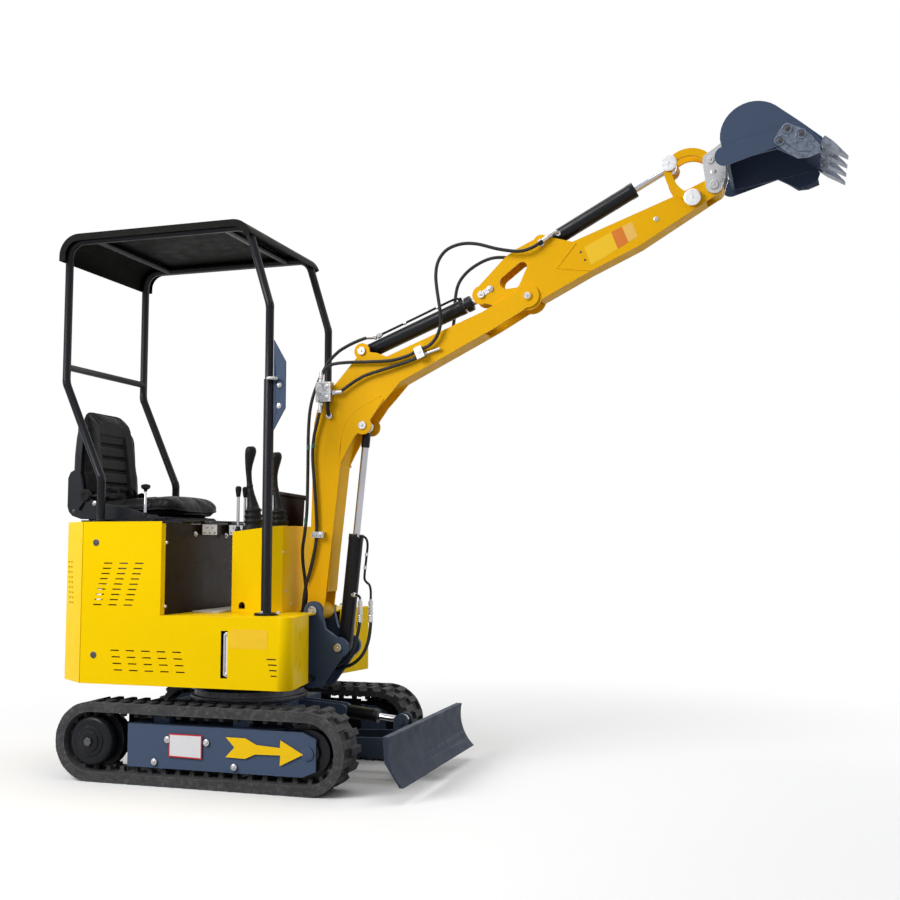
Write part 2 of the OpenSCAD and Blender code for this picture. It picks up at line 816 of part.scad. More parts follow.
// Side frame: plates, top cover, slide pads and the motor's plate
module frame_side() {
    polygon([[-frame_rear, frame_bottom], [frame_front - frame_chamfer, frame_bottom],
        [frame_front, frame_bottom + frame_nose], [frame_front, frame_top - frame_nose],
        [frame_front - frame_chamfer, frame_top], [-frame_rear, frame_top]]);
}
module track_frame(side) {
    belt_under = track_height - lug_height - belt_thick - run_gap;
    color(slate)
        sided(side) {
            slab(frame_out, frame_out + frame_plate)
                frame_side();
            slab(frame_in - frame_plate, frame_in) {
                frame_side();
                disc(sprocket_c, hub_cover_r);
                rectangle([sprocket_c[0], track_height / 2 - hub_r], [loop_a - frame_rear, 2 * hub_r]);
            }
            slab(frame_out, frame_in)
                rectangle([-frame_rear, frame_top - frame_plate],
                    [frame_rear + loop_a - wheel_r - frame_nose, frame_plate]);
            for (x = [-roller_rear, roller_front])
                slab(-track_y - pad_half, -track_y + pad_half)
                    rectangle([x - pad_length / 2, frame_top - cut],
                        [pad_length, belt_under - frame_top + cut]);
            for (x = [-roller_rear, roller_front])
                shaft([x, roller_z], axle_r, frame_out - pin_proud, frame_out + frame_plate);
        }
}
module track_frame_right() track_frame(-1);
module track_frame_left() track_frame(1);

// Centre frame: box, cross beams, blade ears and the blade cylinder's foot
module tube_beam(x) {
    slab(frame_in, -frame_in)
        difference() {
            rectangle([x - beam_half, beam_bottom], [2 * beam_half, beam_top - beam_bottom]);
            rectangle([x - beam_half + centre_plate, beam_bottom + centre_plate],
                [2 * (beam_half - centre_plate), beam_top - beam_bottom - 2 * centre_plate]);
        }
}
module centre_frame() {
    ear_y = push_arm_y - push_arm_thick / 2 - side_gap - blade_ear_thick;
    color(slate) {
        difference() {
            box([-centre_half_x, -centre_half_y, centre_bottom],
                [2 * centre_half_x, 2 * centre_half_y, centre_top - centre_bottom]);
            translate([-centre_half_x + centre_plate, -centre_half_y + centre_plate, centre_bottom - cut])
                cube([2 * (centre_half_x - centre_plate), 2 * (centre_half_y - centre_plate),
                    centre_top - centre_bottom - centre_plate + cut]);
        }
        tube_beam(-beam_x);
        tube_beam(beam_x);
        pair(ear_y, ear_y + blade_ear_thick) {
            disc(blade_pivot, blade_boss_r);
            rectangle([centre_half_x - cut, blade_pivot_z - blade_boss_r],
                [blade_pivot_x - centre_half_x + cut, 2 * blade_boss_r]);
        }
        pair(ear_y, push_arm_y + push_arm_thick / 2 + pin_proud)
            disc(blade_pivot, blade_pin_r);
        pair(blade_eye_half + side_gap, blade_eye_half + side_gap + blade_ear_thick) {
            disc(blade_foot, blade_boss_r);
            polygon([[centre_half_x - cut, centre_top], [centre_half_x - cut, centre_top - foot_web],
                [blade_foot_x, blade_foot_z - blade_boss_r], [blade_foot_x, blade_foot_z + blade_boss_r]]);
        }
        shaft(blade_foot, blade_pin_r, -blade_eye_half - blade_ear_thick, blade_eye_half + blade_ear_thick);
    }
}
module slew_ring() {
    color(dark_steel)
        translate([0, 0, centre_top]) {
            cylinder(r = slew_r, h = ring_z - centre_top);
            cylinder(r = slew_r + ring_lip, h = ring_lip);
        }
}

// Blade: curved section, two push arms, cross beam and the cylinder's clevis
module blade_section() {
    low = [blade_x + blade_lip, blade_bottom];
    high = [blade_x, blade_top];
    bow = blade_plate;
    face = bow_points(low, high, bow, 0, bar_steps);
    middle = [blade_x - blade_plate * blade_back_share, (blade_top + blade_bottom) / 2 - cut];
    polygon(concat(face, [high - [blade_plate, 0], middle, low - [blade_plate * blade_toe_share, 0]]));
}
module blade() {
    mid_z = (blade_top + blade_bottom) / 2;
    back_x = blade_x - blade_plate * blade_back_share;
    color(slate)
        difference() {
            union() {
                slab(-blade_width / 2, blade_width / 2)
                    blade_section();
                pair(push_arm_y - push_arm_thick / 2, push_arm_y + push_arm_thick / 2) {
                    disc(blade_pivot, blade_boss_r);
                    polygon([blade_pivot + [0, blade_boss_r], blade_pivot - [0, blade_boss_r],
                        [back_x, mid_z - push_arm_depth / 2 - push_arm_rise / 2],
                        [back_x, mid_z + push_arm_depth / 2 - push_arm_rise / 2]]);
                }
                slab(-push_arm_y, push_arm_y)
                    rectangle([blade_eye_x - cross_beam, mid_z - push_arm_depth / 2],
                        [2 * cross_beam, cross_beam]);
                pair(blade_eye_half + side_gap, blade_eye_half + side_gap + blade_ear_thick) {
                    disc(blade_eye, blade_boss_r);
                    polygon([blade_eye + [-blade_boss_r, 0], blade_eye + [blade_boss_r, 0],
                        [blade_eye_x + cross_beam, mid_z - push_arm_depth / 2 + cut],
                        [blade_eye_x - cross_beam, mid_z - push_arm_depth / 2 + cut]]);
                }
                pair(blade_eye_half + side_gap, blade_eye_half + blade_ear_thick + pin_proud)
                    disc(blade_eye, blade_pin_r);
            }
            shaft(blade_pivot, blade_pin_r + pin_gap, -blade_width / 2, blade_width / 2);
        }
}

// Cylinders: the barrel swings on its foot pin, and the rod slides in it towards its eye
module along(p, q) {
    translate([p[0], 0, p[1]])
        rotate([0, -heading(q - p), 0])
            children();
}
module lying(r, x0, x1) {
    translate([x0, 0, 0])
        rotate([0, 90, 0])
            cylinder(r = r, h = x1 - x0);
}
module cylinder_barrel(p, q, r, share, rod, eye_r, half, pin_r) {
    long = norm(q - p) * share;
    color(dark_steel)
        along(p, q)
            difference() {
                union() {
                    lying(r, 0, long);
                    lying(r * gland_r_share, long - gland_length, long);
                    shaft([0, 0], eye_r, -half, half);
                }
                shaft([0, 0], pin_r + pin_gap, -half - r, half + r);
                pair(half, r + cut)
                    disc([0, 0], eye_r + cut);
                lying(r - barrel_wall, eye_r + barrel_floor, long - gland_length);
                lying(rod + run_gap, long - gland_length - cut, long + cut);
            }
}
module cylinder_rod(p, q, r, share, rod, eye_r, half, pin_r) {
    reach = norm(q - p);
    long = reach * share;
    color(chrome)
        along(p, q)
            difference() {
                union() {
                    lying(rod, reach - long, reach);
                    lying(r - barrel_wall - run_gap, reach - long, reach - long * (1 - piston_share));
                    shaft([reach, 0], eye_r, -half, half);
                }
                shaft([reach, 0], pin_r, -half - r, half + r);
            }
}
module blade_barrel() {
    cylinder_barrel(blade_foot, blade_eye, blade_barrel_r, blade_barrel_share, blade_rod_r, blade_eye_r,
        blade_eye_half, blade_pin_r);
}
module blade_rod() {
    cylinder_rod(blade_foot, blade_eye, blade_barrel_r, blade_rod_share, blade_rod_r, blade_eye_r,
        blade_eye_half, blade_pin_r);
}
module boom_barrel() {
    cylinder_barrel(boom_cyl_foot, boom_eye, barrel_r, boom_barrel_share, rod_r, barrel_eye_r, eye_half,
        boom_pin_r);
}
module boom_rod() {
    cylinder_rod(boom_cyl_foot, boom_eye, barrel_r, boom_rod_share, rod_r, rod_eye_r, eye_half, boom_pin_r);
}
module arm_barrel() {
    cylinder_barrel(stick_foot, arm_eye, barrel_r, arm_barrel_share, rod_r, barrel_eye_r, eye_half,
        boom_pin_r);
}
module arm_rod() {
    cylinder_rod(stick_foot, arm_eye, barrel_r, arm_rod_share, rod_r, rod_eye_r, eye_half, arm_pin_r);
}
module bucket_barrel() {
    cylinder_barrel(tool_foot, lever_pin, barrel_r, tool_barrel_share, rod_r, barrel_eye_r, eye_half,
        arm_pin_r);
}
module bucket_rod() {
    cylinder_rod(tool_foot, lever_pin, barrel_r, tool_rod_share, rod_r, rod_eye_r, eye_half, arm_pin_r);
}

// House platform, plan outlines and panels
cheek_x = corner_front + corner_r;
rear_plan = [[-corner_rear, -house_half], [-house_rear, -rear_flat / 2], [-house_rear, rear_flat / 2],
    [-corner_rear, house_half]];
function house_front_plan(inset) = [[corner_front, -house_half + inset],
    [cheek_x - inset, -house_half + corner_r], [cheek_x - cheek_sweep - inset, -cheek_in]];
module mirrored_plan(points) {
    polygon(concat(points, reversed([for (p = points) [p[0], -p[1]]])));
}
module house_platform() {
    inset = panel_thick + side_gap;
    color(dark_steel) {
        translate([0, 0, skirt_z])
            linear_extrude(height = platform_thick)
                mirrored_plan(concat([parallel(rear_plan, -inset)[1],
                    [-corner_rear + 2 * panel_thick, -house_half + inset]], house_front_plan(inset),
                    [[cheek_x - cheek_sweep - inset, -bracket_bay], [platform_front, -bracket_bay]]));
        translate([0, 0, ring_z + run_gap])
            cylinder(r = slew_r * swing_r_share, h = skirt_z - ring_z - run_gap);
    }
}

// Side panel: skirt and bay side in one sheet, with louvres, gauge slot and front corner
module louvre(x, z) {
    box([x, -house_half - cut, z - louvre_height / 2],
        [louvre_length, panel_thick + 2 * cut, louvre_height]);
}
module panel_louvres() {
    for (i = [0 : upper_rows - 1], k = [0 : upper_cols - 1])
        louvre(upper_x + k * upper_step_x - i * upper_slant, upper_z - i * upper_step_z);
    for (i = [0 : lower_rows - 1], k = [0 : lower_cols - 1])
        louvre(lower_x + k * lower_step_x + i * lower_slant, lower_z - i * lower_step_z);
    for (i = [0 : front_slots - 1])
        louvre(front_x + i * lower_slant, front_z - i * front_step_z);
    box([gauge_x - gauge_width / 2, -house_half - cut, gauge_z],
        [gauge_width, panel_thick + 2 * cut, gauge_height]);
}
module panel_side_view() {
    polygon([[-corner_rear + panel_thick, skirt_z], [corner_front, skirt_z], [corner_front, deck_z],
        [-bay_front, deck_z], [-bay_front, bay_top], [-corner_rear + panel_thick, bay_top]]);
}
module front_corner_plan() {
    c = [corner_front, -house_half + corner_r];
    difference() {
        translate(c)
            circle(r = corner_r);
        translate(c)
            circle(r = corner_r - panel_thick);
        rectangle([corner_front - 2 * corner_r, -house_half - cut], [2 * corner_r, 2 * corner_r + 2 * cut]);
        rectangle([corner_front - cut, -house_half + corner_r], [2 * corner_r, 2 * corner_r]);
    }
    band([[cheek_x, -house_half + corner_r], [cheek_x - cheek_sweep, -cheek_in]], panel_thick);
}
module side_panel(side) {
    color(house_yellow)
        sided(side) {
            difference() {
                slab(-house_half, -house_half + panel_thick)
                    panel_side_view();
                panel_louvres();
            }
            difference() {
                translate([0, 0, skirt_z])
                    linear_extrude(height = deck_z - skirt_z)
                        front_corner_plan();
                for (z = slit_zs)
                    box([corner_front, -slit_y, z], [corner_r + cut, slit_width, slit_height]);
            }
            box([-bay_front - panel_thick, -house_half, deck_z + side_gap],
                [panel_thick, flange, bay_top - rail_thick - deck_z - side_gap - run_gap]);
        }
}
module side_panel_right() side_panel(-1);
module side_panel_left() side_panel(1);
module chamfer_slots() {
    turn = heading(rear_plan[1] - rear_plan[0]);
    for (i = [0 : upper_rows - 1], k = [0, 1])
        translate([rear_plan[0][0], rear_plan[0][1], upper_z - i * upper_step_z])
            rotate([0, 0, turn])
                translate([chamfer_slot_in + k * chamfer_slot_step - i * chamfer_slot_slant,
                    -panel_thick - cut, 0])
                    cube([chamfer_slot, 2 * (panel_thick + cut), louvre_height]);
}
module rear_slots() {
    for (i = [0 : upper_rows - 1], k = [0 : rear_cols - 1])
        translate([-house_rear - cut, (k - (rear_cols - 1) / 2) * upper_step_x - louvre_length / 2,
            upper_z - i * upper_step_z])
            cube([panel_thick + 2 * cut, louvre_length, louvre_height]);
}
module rear_panel() {
    color(house_yellow)
        difference() {
            translate([0, 0, skirt_z])
                linear_extrude(height = bay_top - skirt_z)
                    band(rear_plan, -panel_thick);
            for (side = [-1, 1])
                sided(side)
                    chamfer_slots();
            rear_slots();
        }
}

// Bulkhead with the house's half of the seat hinges
bulkhead_x = -bay_front - panel_thick;
module hinge_pins(y) {
    shaft([hinge_x, hinge_z], hinge_r / 2, y - hinge_half, y + hinge_half);
    for (s = [-1, 1]) {
        knuckle_y = y + s * (hinge_half - hinge_r);
        shaft([hinge_x, hinge_z], hinge_r, knuckle_y - hinge_r, knuckle_y + hinge_r);
        box([bulkhead_x, knuckle_y - hinge_r, hinge_z - 2 * hinge_r],
            [hinge_x - bulkhead_x, 2 * hinge_r, 2 * hinge_r]);
    }
    box([bulkhead_x, y - hinge_half, hinge_z - leaf_low_share * hinge_r],
        [panel_thick, 2 * hinge_half, leaf_share * hinge_r]);
}
module bulkhead() {
    color(dark_steel) {
        box([bulkhead_x - panel_thick, -house_half + panel_thick, platform_top],
            [panel_thick, house_width - 2 * panel_thick, bay_top - rail_thick - platform_top]);
        hinge_pins(-hinge_right_y);
        hinge_pins(hinge_left_y);
    }
}
module deck() {
    inset = panel_thick + side_gap;
    color(house_yellow)
        translate([0, 0, deck_z - deck_thick])
            linear_extrude(height = deck_thick)
                mirrored_plan(concat([[bulkhead_x, -house_half + panel_thick]], house_front_plan(inset),
                    [[cheek_x - cheek_sweep - inset, -bracket_bay], [deck_front, -bracket_bay]]));
}
module floor_mat() {
    color(mat_grey)
        box([-bay_front + mat_margin, -mat_half, deck_z],
            [console_rear + bay_front - 2 * mat_margin, 2 * mat_half, mat_thick]);
}
module engine_block() {
    color(dark_steel)
        box([-engine_rear, -engine_half, platform_top],
            [engine_rear - engine_front, 2 * engine_half, engine_top - platform_top]);
}
module counterweight() {
    color(dark_steel)
        box([-house_rear + panel_thick, -counter_half, platform_top],
            [counter_thick, 2 * counter_half, counter_top - platform_top]);
}
module bay_rails() {
    inner = lid_half + lid_gap;
    rear = -corner_rear + 2 * panel_thick;
    color(dark_steel)
        for (s = [-1, 1])
            box([rear, s > 0 ? inner : -house_half + panel_thick, bay_top - rail_thick],
                [bulkhead_x - rear, house_half - panel_thick - inner, rail_thick]);
}

// Boom bracket: two plates with the foot pins of the boom and its cylinder
module bracket_side() {
    polygon(concat([[bracket_rear, platform_top], [platform_front + side_gap, platform_top]],
        share_points(bracket_shares, bracket_height, boom_foot), [[bracket_rear, bracket_rear_top]]));
    disc(boom_foot, foot_lobe_r);
    disc(boom_cyl_foot, cyl_lobe_r);
}
module boom_bracket() {
    color(slate) {
        pair(bracket_in, bracket_out)
            bracket_side();
        pair(eye_half + side_gap, bracket_out)
            disc(boom_cyl_foot, boom_pin_r + pin_proud);
        shaft(boom_foot, foot_pin_r, -bracket_out - pin_proud, bracket_out + pin_proud);
        shaft(boom_cyl_foot, boom_pin_r, -bracket_out - pin_proud, bracket_out + pin_proud);
        box([bracket_rear, -bracket_in, platform_top],
            [bracket_thick, 2 * bracket_in, bracket_rear_top - platform_top]);
    }
}

// Control console with its joysticks and levers
function console_plan(inset) = [[console_rear + inset, -console_width / 2 + inset],
    [console_rear + console_depth - console_chamfer_x, -console_width / 2 + inset],
    [console_rear + console_depth - inset, -console_width / 2 + console_chamfer]];
module console_view(inset) {
    x1 = console_rear + console_depth;
    polygon([[console_rear - cut, deck_z - inset], [x1 + cut, deck_z - inset],
        [x1 + cut, console_top + console_rise - inset], [console_rear - cut, console_top - inset]]);
}
module console_solid(inset) {
    intersection() {
        translate([0, 0, deck_z - inset - cut])
            linear_extrude(height = console_top - deck_z + console_rise + 2 * cut)
                mirrored_plan(console_plan(inset));
        slab(-console_width, console_width)
            console_view(inset);
    }
}
module console() {
    color(house_yellow)
        difference() {
            console_solid(0);
            console_solid(panel_thick);
            slab(-console_width / 2 - cut, -console_width / 2 + panel_thick + cut) {
                disc([hatch_x, hatch_z], hatch_r);
                rectangle([hatch_x - hatch_r, hatch_z - hatch_r], [2 * hatch_r, hatch_r]);
            }
        }
}
module guard_panel() {
    y = console_width / 2 + run_gap;
    color(dark_steel) {
        slab(y, y + panel_thick)
            polygon(guard_points);
        translate([0, y + panel_thick, 0])
            straight_tube(guard_bar[0], guard_bar[1], guard_bar_r);
    }
}
function console_height(x) =
    console_top + console_rise * (x - console_rear + cut) / (console_depth + 2 * cut);
module joysticks() {
    base = console_height(joystick_x + boot_r);
    color(vinyl)
        for (s = [-1, 1])
            translate([joystick_x, s * joystick_gap / 2, base]) {
                cylinder(r1 = boot_r, r2 = boot_top_r, h = boot_height);
                cylinder(r = stick_r, h = joystick_top - base - grip_height);
                translate([0, 0, joystick_top - base - grip_height])
                    cylinder(r1 = boot_top_r, r2 = grip_r, h = grip_height);
            }
}
module travel_levers() {
    base = console_height(lever_x + lever_collar_r);
    color(chrome)
        for (i = [0, 1])
            translate([lever_x, -lever_y - i * lever_step, base]) {
                cylinder(r = lever_collar_r, h = knob_r / 2);
                cylinder(r = lever_r, h = lever_top - base - knob_r);
                translate([0, 0, lever_top - base - knob_r])
                    sphere(r = knob_r);
            }
}
module throttle_lever() {
    color(dark_steel)
        translate([throttle_x, -throttle_y, bay_top]) {
            cylinder(r = throttle_base_r, h = throttle_base_height);
            cylinder(r = throttle_r, h = throttle_top - bay_top - throttle_knob_thick);
            translate([0, 0, throttle_top - bay_top - throttle_knob_thick])
                cylinder(r = throttle_knob_r, h = throttle_knob_thick);
        }
}

// Canopy: bent hoops, cross tubes, a roof sheet and the front post's plate
module hoop() {
    bent_tube(hoop_path, tube_r, bend_r);
    translate([post_front, 0, deck_z])
        cylinder(r = sleeve_r, h = sleeve_top - deck_z);
    translate([post_front, 0, deck_z])
        cylinder(r = foot_plate_r, h = foot_plate_thick);
    translate([-post_rear, 0, bay_top])
        cylinder(r = rear_foot_r, h = foot_plate_thick);
}
module canopy_hoops() {
    bar_r = tube_r * crossbar_share;
    color(dark_steel) {
        for (s = [-1, 1])
            translate([0, s * hoop_y, 0])
                hoop();
        shaft([-post_upper_rear, crossbar_z], bar_r, -hoop_y, hoop_y);
        shaft([roof_rear_c[0] + cross_tube_in, rail_z], bar_r, -hoop_y, hoop_y);
        shaft([roof_front_c[0] - cross_tube_in, rail_z], bar_r, -hoop_y, hoop_y);
    }
}
roof_arc_steps = 10;
roof_path = concat([[roof_rear_c[0] - roof_r, roof_rear_z]],
    arc_points(roof_rear_c, roof_r, 180, 90, roof_arc_steps),
    arc_points(roof_front_c, roof_r, 90, 90 - front_turn, roof_arc_steps));
module canopy_roof() {
    color(dark_steel) {
        slab(-roof_width / 2, roof_width / 2)
            band(roof_path, sheet);
        pair(roof_width / 2 - sheet, roof_width / 2)
            band(roof_path, -roof_lip);
    }
}
module accessory_plate() {
    x = post_front + sleeve_r + run_gap;
    color(slate)
        slab(-hoop_y - plate_sheet / 2, -hoop_y + plate_sheet / 2)
            difference() {
                polygon([[x, plate_low], [post_front + plate_out, plate_low + plate_slope],
                    [post_front + plate_out, plate_top - plate_slope], [x, plate_top]]);
                disc([plate_hole_x, plate_hole_top], plate_hole_r);
                disc([plate_hole_x, plate_hole_top - plate_hole_step], plate_hole_r);
            }
}

// Seat on its tilting deck
module lid_knuckle(y) {
    reach = hinge_half - 2 * hinge_r - side_gap;
    difference() {
        union() {
            shaft([hinge_x, hinge_z], hinge_r, y - reach, y + reach);
            box([bulkhead_x, y - reach, bay_top + run_gap],
                [hinge_x - bulkhead_x, 2 * reach, lid_thick - run_gap]);
        }
        shaft([hinge_x, hinge_z], hinge_r / 2 + pin_gap, y - hinge_half, y + hinge_half);
    }
}
module seat_deck() {
    color(dark_steel) {
        box([-house_rear + lid_gap + panel_thick, -lid_half, bay_top + run_gap],
            [house_rear + bulkhead_x - lid_gap - panel_thick, 2 * lid_half, lid_thick - run_gap]);
        lid_knuckle(-hinge_right_y);
        lid_knuckle(hinge_left_y);
    }
}
seat_half = seat_width / 2;
shell_half = seat_half - shell_side;
module seat_shell() {
    base = bay_top + lid_thick;
    shell_top = seat_top - 2 * shell_side;
    color(vinyl) {
        slab(-shell_half, shell_half)
            polygon([[-seat_front - shell_side * 2, base], [-house_rear, base], [-seat_rear, back_low],
                [-seat_rear, shell_top], [-seat_rear + shell_thick, shell_top],
                [-seat_rear + shell_thick, back_low], [-house_rear, base + shell_thick],
                [-seat_front - shell_side * 2, base + shell_thick]]);
    }
}
function seat_plan(low, x) = concat(
    arc_points([x - seat_round, seat_half - seat_round], seat_round, 0, 90, roof_arc_steps),
    [[low, seat_half], [low, -seat_half]],
    arc_points([x - seat_round, seat_round - seat_half], seat_round, -90, 0, roof_arc_steps));
module seat_cushion() {
    base = bay_top + lid_thick + shell_thick + cushion_gap;
    rear = -house_rear + cushion_gap;
    color(vinyl)
        intersection() {
            slab(-seat_half, seat_half)
                polygon(concat([[-seat_front, base], [rear, base], [rear, cushion_top - shell_side]],
                    arc_points([-seat_front - nose_r, cushion_top - nose_r], nose_r, 90, 0, roof_arc_steps)));
            linear_extrude(height = seat_top)
                polygon(seat_plan(rear, -seat_front));
        }
}
module seat_back() {
    rear = -seat_rear + shell_thick + cushion_gap;
    color(vinyl)
        intersection() {
            slab(-seat_half, seat_half)
                polygon([[rear, cushion_top + cushion_gap], [rear, seat_top],
                    [rear + back_thick - back_lean, seat_top], [rear + back_thick, cushion_top + cushion_gap]]);
            translate([rear, 0, 0])
                rotate([0, -90, 0])
                    mirror([0, 0, 1])
                        linear_extrude(height = back_thick)
                            polygon(seat_plan(cushion_top, seat_top));
        }
}

// Boom: two side plates with webs between them
module boom_side() {
    polygon(concat(share_points(boom_rear_shares, boom_length, boom_foot), [stick_foot],
        share_points(boom_top_shares, boom_length, boom_foot),
        share_points(tip_corner_shares, boom_tip_lobe_share * boom_length, arm_pivot),
        share_points(boom_under_shares, boom_length, boom_foot), [boom_eye],
        share_points(boom_front_shares, boom_length, boom_foot)));
    disc(boom_foot, boom_foot_lobe_share * boom_length);
    disc(stick_foot, boom_bracket_lobe_share * boom_length);
    disc(boom_eye, boom_eye_lobe_share * boom_length);
    disc(arm_pivot, boom_tip_lobe_share * boom_length);
}
module boom() {
    color(boom_yellow)
        difference() {
            union() {
                pair(boom_inner, boom_half)
                    boom_side();
                pair(boom_half - cut, boom_half + doubler_thick) {
                    polygon(share_points(doubler_shares, boom_length, boom_foot));
                    disc(boom_eye, boom_eye_lobe_share * boom_length);
                }
                slab(-boom_inner, boom_inner) {
                    band(share_points(boom_web_shares, boom_length, boom_foot), plate_thick);
                    band(share_points(boom_back_web_shares, boom_length, boom_foot), -plate_thick);
                    band(share_points(boom_top_web_shares, boom_length, boom_foot), -plate_thick);
                }
                shaft(boom_foot, boom_foot_lobe_share * boom_length, -bracket_in + side_gap,
                    bracket_in - side_gap);
                pair(eye_half + side_gap, boom_half)
                    disc(stick_foot, boom_pin_r + pin_proud);
                shaft(stick_foot, boom_pin_r, -boom_half - pin_proud, boom_half + pin_proud);
                pair(eye_half + side_gap, boom_half + pin_proud)
                    disc(boom_eye, boom_pin_r);
                shaft(arm_pivot, tip_pin_r, -boom_half - pin_proud, boom_half + pin_proud);
            }
            shaft(boom_foot, foot_pin_r + pin_gap, -boom_width, boom_width);
        }
}

// Arm: side plates, webs, pivot tube and pins
module arm_side() {
    centres = share_points(arm_hole_shares, arm_length, arm_pivot);
    difference() {
        polygon(share_points(arm_side_shares, arm_length, arm_pivot));
        hull()
            for (i = [0 : len(centres) - 1])
                disc(centres[i], arm_hole_r_shares[i] * arm_length);
    }
    disc(arm_pivot, arm_pivot_lobe_share * arm_length);
    disc(arm_eye, arm_eye_lobe_share * arm_length);
    disc(tool_foot, arm_foot_lobe_share * arm_length);
    disc(bucket_pin, arm_tip_lobe_share * arm_length);
}
module arm() {
    color(boom_yellow)
        difference() {
            union() {
                pair(arm_inner, arm_half)
                    arm_side();
                slab(-arm_inner, arm_inner) {
                    band(share_points(arm_low_web_shares, arm_length, arm_pivot), plate_thick);
                    band(share_points(arm_top_web_shares, arm_length, arm_pivot), plate_thick);
                    band(share_points(arm_back_web_shares, arm_length, arm_pivot), plate_thick);
                }
                shaft(arm_pivot, arm_tube_share * arm_length, -arm_half, arm_half);
                shaft(bucket_pin, arm_tip_lobe_share * arm_length, -arm_half, arm_half);
                pair(eye_half + side_gap, arm_half + pin_proud)
                    disc(arm_eye, arm_pin_r);
                pair(eye_half + side_gap, arm_half)
                    disc(tool_foot, arm_pin_r + pin_proud);
                shaft(tool_foot, arm_pin_r, -arm_half - pin_proud, arm_half + pin_proud);
                shaft(lever_pivot, arm_pin_r, -lever_in - lever_thick - pin_proud,
                    lever_in + lever_thick + pin_proud);
                pair(lever_in + lever_thick + side_gap, lever_in + lever_thick + pin_proud)
                    disc(lever_pivot, cap_r);
            }
            shaft(arm_pivot, tip_pin_r + pin_gap, -arm_width, arm_width);
            shaft(bucket_pin, bucket_pin_r + pin_gap, -arm_width, arm_width);
        }
}

// Bucket lever on the arm, and the link from the lever to the bucket
module bucket_lever() {
    color(boom_yellow)
        difference() {
            union() {
                pair(lever_in, lever_in + lever_thick)
                    bowed_bar(lever_pivot, lever_pin, lever_bow);
                pair(link_in, lever_in + lever_thick + pin_proud)
                    disc(lever_pin, arm_pin_r);
                pair(lever_in + lever_thick, lever_in + lever_thick + pin_proud)
                    disc(lever_pin, cap_r);
            }
            shaft(lever_pivot, arm_pin_r + pin_gap, -arm_width, arm_width);
        }
}
module bucket_link() {
    color(boom_yellow)
        difference() {
            union() {
                pair(link_in, link_out)
                    bowed_bar(lever_pin, link_pin, link_bow);
                shaft(link_pin, bar_lobe_r, -link_out, link_out);
            }
            shaft(lever_pin, arm_pin_r + pin_gap, -arm_width, arm_width);
            shaft(link_pin, arm_pin_r, -arm_width, arm_width);
        }
}

// Bucket: rolled shell, side plates and hinge ears, then its teeth
mouth = bucket_pin + bucket_reach * mouth_shares;
bucket_round = bucket_pin + bucket_reach * round_shares;
bucket_path = concat([mouth],
    arc_points(bucket_round, bucket_reach * round_share, round_from, round_to, round_steps), [bend, lip]);
module bucket() {
    pocket = bucket_pin + bucket_reach * pocket_shares;
    pocket_r = bar_lobe_r + pocket_gap;
    color(slate) {
        difference() {
            union() {
                slab(-bucket_half, bucket_half)
                    band(bucket_path, -bucket_plate);
                slab(-ear_in, ear_in)
                    intersection() {
                        polygon(bucket_path);
                        disc(pocket, pocket_r + bucket_plate);
                    }
            }
            shaft(pocket, pocket_r, -ear_in, ear_in);
        }
        pair(bucket_half - bucket_plate, bucket_half)
            polygon(bucket_path);
        pair(bucket_half - cut, bucket_half + cutter_thick)
            polygon(share_points(cutter_shares, bucket_reach, bucket_pin));
    }
}
module bucket_ears() {
    color(chrome) {
        pair(ear_in, ear_in + ear_thick)
            difference() {
                union() {
                    disc(bucket_pin, ear_lobe_r);
                    disc(link_pin, ear_lobe_r);
                    polygon(share_points(ear_shares, bucket_reach, bucket_pin));
                }
                offset(delta = run_gap)
                    polygon(bucket_path);
            }
        shaft(bucket_pin, bucket_pin_r, -ear_in - ear_thick - pin_proud, ear_in + ear_thick + pin_proud);
        pair(ear_in, ear_in + ear_thick + pin_proud)
            disc(link_pin, arm_pin_r);
    }
}
module bucket_teeth() {
    outer = bucket_half - bucket_plate - tooth_half;
    step = 2 * outer / (tooth_count - 1);
    up = left_normal(lip, tooth_tip);
    root = lip + run_gap * tooth_shares;
    neck = lip + tooth_length * tooth_neck_share * tooth_shares;
    color(chrome)
        for (i = [0 : tooth_count - 1]) {
            y = -outer + i * step;
            slab(y - tooth_half, y + tooth_half)
                polygon([root - up * tooth_thick / 2, neck - up * tooth_thick / 2, tooth_tip,
                    neck + up * tooth_thick / 2, root + up * tooth_thick / 2]);
        }
}

// Blocks and straps that hold the hoses on the boom's sides
module hose_clamps() {
    y = -boom_half - run_gap;
    color(chrome) {
        box([block_x, y - block_size[1], block_z], block_size);
        for (side = [-1, 1])
            sided(side)
                translate([clamp_c[0], y - clamp_size[1], clamp_c[1]])
                    rotate([0, -clamp_tilt, 0])
                        box([-clamp_size[0] / 2, 0, -clamp_size[2] / 2], clamp_size);
        difference() {
            box([strap_x, y - strap_size[1], strap_z], strap_size);
            translate([strap_hole_x, strap_hole_y, strap_z - cut])
                cylinder(r = hose_r + strap_ease, h = strap_size[2] + 2 * cut);
        }
    }
}

